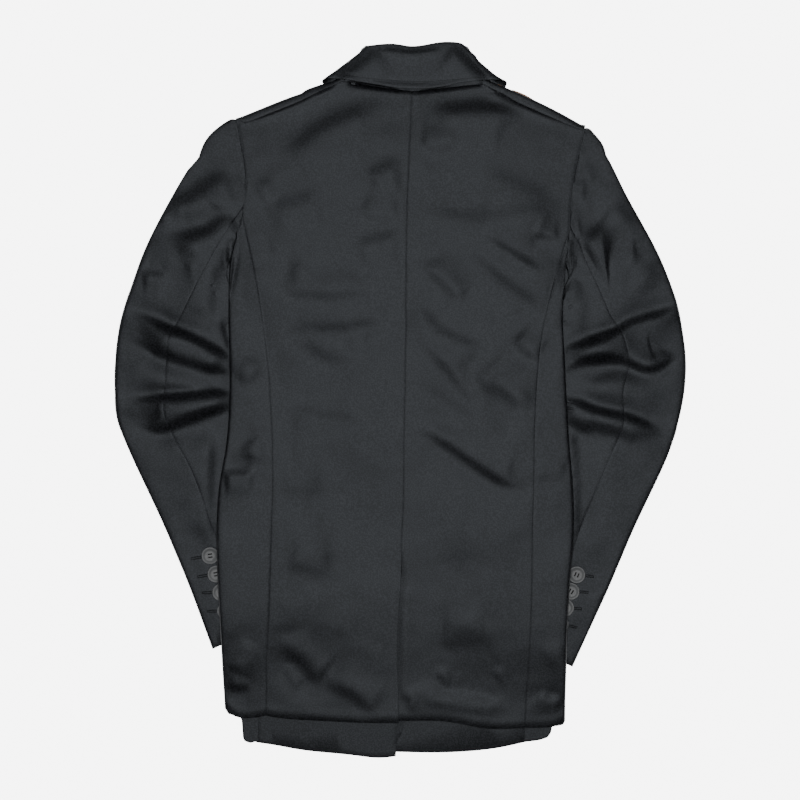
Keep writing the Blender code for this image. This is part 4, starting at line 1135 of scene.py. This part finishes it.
collarStitch = {"pitch": 3.2, "length": 2.5, "radius": 0.28,
                "line": ((-72, 369.5), (-61, 368), (-26, 363.6), (9, 361.4), (35, 361.4), (61, 363.2), (96, 366.2))}
collarTree = clothTree(cloth["collar_fall"])
model = stitchModel(collarStitch["length"], collarStitch["radius"])
topstitch = copiesJoined(model, "collar_topstitch", [
    stitchMatrix(x, y, onCloth(collarTree, x, y, 8.0) - 0.02, turn)
    for x, y, turn in evenSteps(collarStitch["line"], collarStitch["pitch"])])
finished(topstitch, thread, "charcoal_satin")
goingWith["collar_fall"].append(topstitch)
bpy.data.objects.remove(model)

holeLook = {"length": 21.0, "pitch": 0.8, "stitch": 1.7, "radius": 0.36, "apart": 1.05, "barBack": 0.3,
            "bar": (-0.7, 0, 0.7), "level": 3.4, "raised": 0.1, "barRaised": 0.16,
            "left": ((-236.6, -180.1), (-229.1, -200.6), (-224.0, -218.9), (-218.3, -240.0)),
            "right": ((219.5, -200.6), (213.2, -218.3), (205.8, -237.1), (200.6, -258.2))}
for side in ("left", "right"):
    tree = clothTree(cloth["sleeve_top_" + side])
    model = stitchModel(holeLook["stitch"], holeLook["radius"])
    places = []
    for k, (x0, y0) in enumerate(holeLook[side], start=1):
        centre = buttonPlaces[side, k] / mm
        turn = atan2(centre.y - y0, centre.x - x0)
        for step in np.arange(0, holeLook["length"], holeLook["pitch"]):
            for across in (-1, 1):
                x = x0 + cos(turn) * step - sin(turn) * across * holeLook["apart"]
                y = y0 + sin(turn) * step + cos(turn) * across * holeLook["apart"]
                level = onCloth(tree, x, y, holeLook["level"]) + holeLook["raised"]
                places.append(stitchMatrix(x, y, level, turn + pi / 2))
        for across in holeLook["bar"]:
            x = x0 - cos(turn) * holeLook["barBack"] - sin(turn) * across
            y = y0 - sin(turn) * holeLook["barBack"] + cos(turn) * across
            level = onCloth(tree, x, y, holeLook["level"]) + holeLook["barRaised"]
            places.append(stitchMatrix(x, y, level, turn + pi / 2))
    holes = copiesJoined(model, side + "_buttonholes", places)
    finished(holes, thread, "charcoal_satin")
    goingWith["sleeve_top_" + side].append(holes)
    bpy.data.objects.remove(model)
print("stitches are made")

# ---- for each sheet of cloth, what it lies on: the floor, or the fronts
lowest = ("front_left", "front_right", "sleeve_top_left", "sleeve_top_right", "sleeve_under_left",
          "sleeve_under_right", "lapel_left", "lapel_right", "collar_fall")
for node, piece in cloth.items():
    under = ["floor"] if node in lowest else ["front_left", "front_right"]

# ---- the table that the jacket lies on
bpy.ops.mesh.primitive_plane_add(size=floorSettings["size"], location=(0, 0, -floorSettings["gap"]))
floor = bpy.context.object
floor.name = "floor"
floorMaterial = bpy.data.materials.new("paleFloor")
floorMaterial.use_nodes = True
floorShader = floorMaterial.node_tree.nodes["Principled BSDF"]
floorShader.inputs["Base Color"].default_value = (*floorSettings["colour"], 1)
floorShader.inputs["Roughness"].default_value = 0.9
floorShader.inputs["Emission Color"].default_value = (1, 1, 1, 1)
floorShader.inputs["Emission Strength"].default_value = floorSettings["glow"]
floor.data.materials.append(floorMaterial)
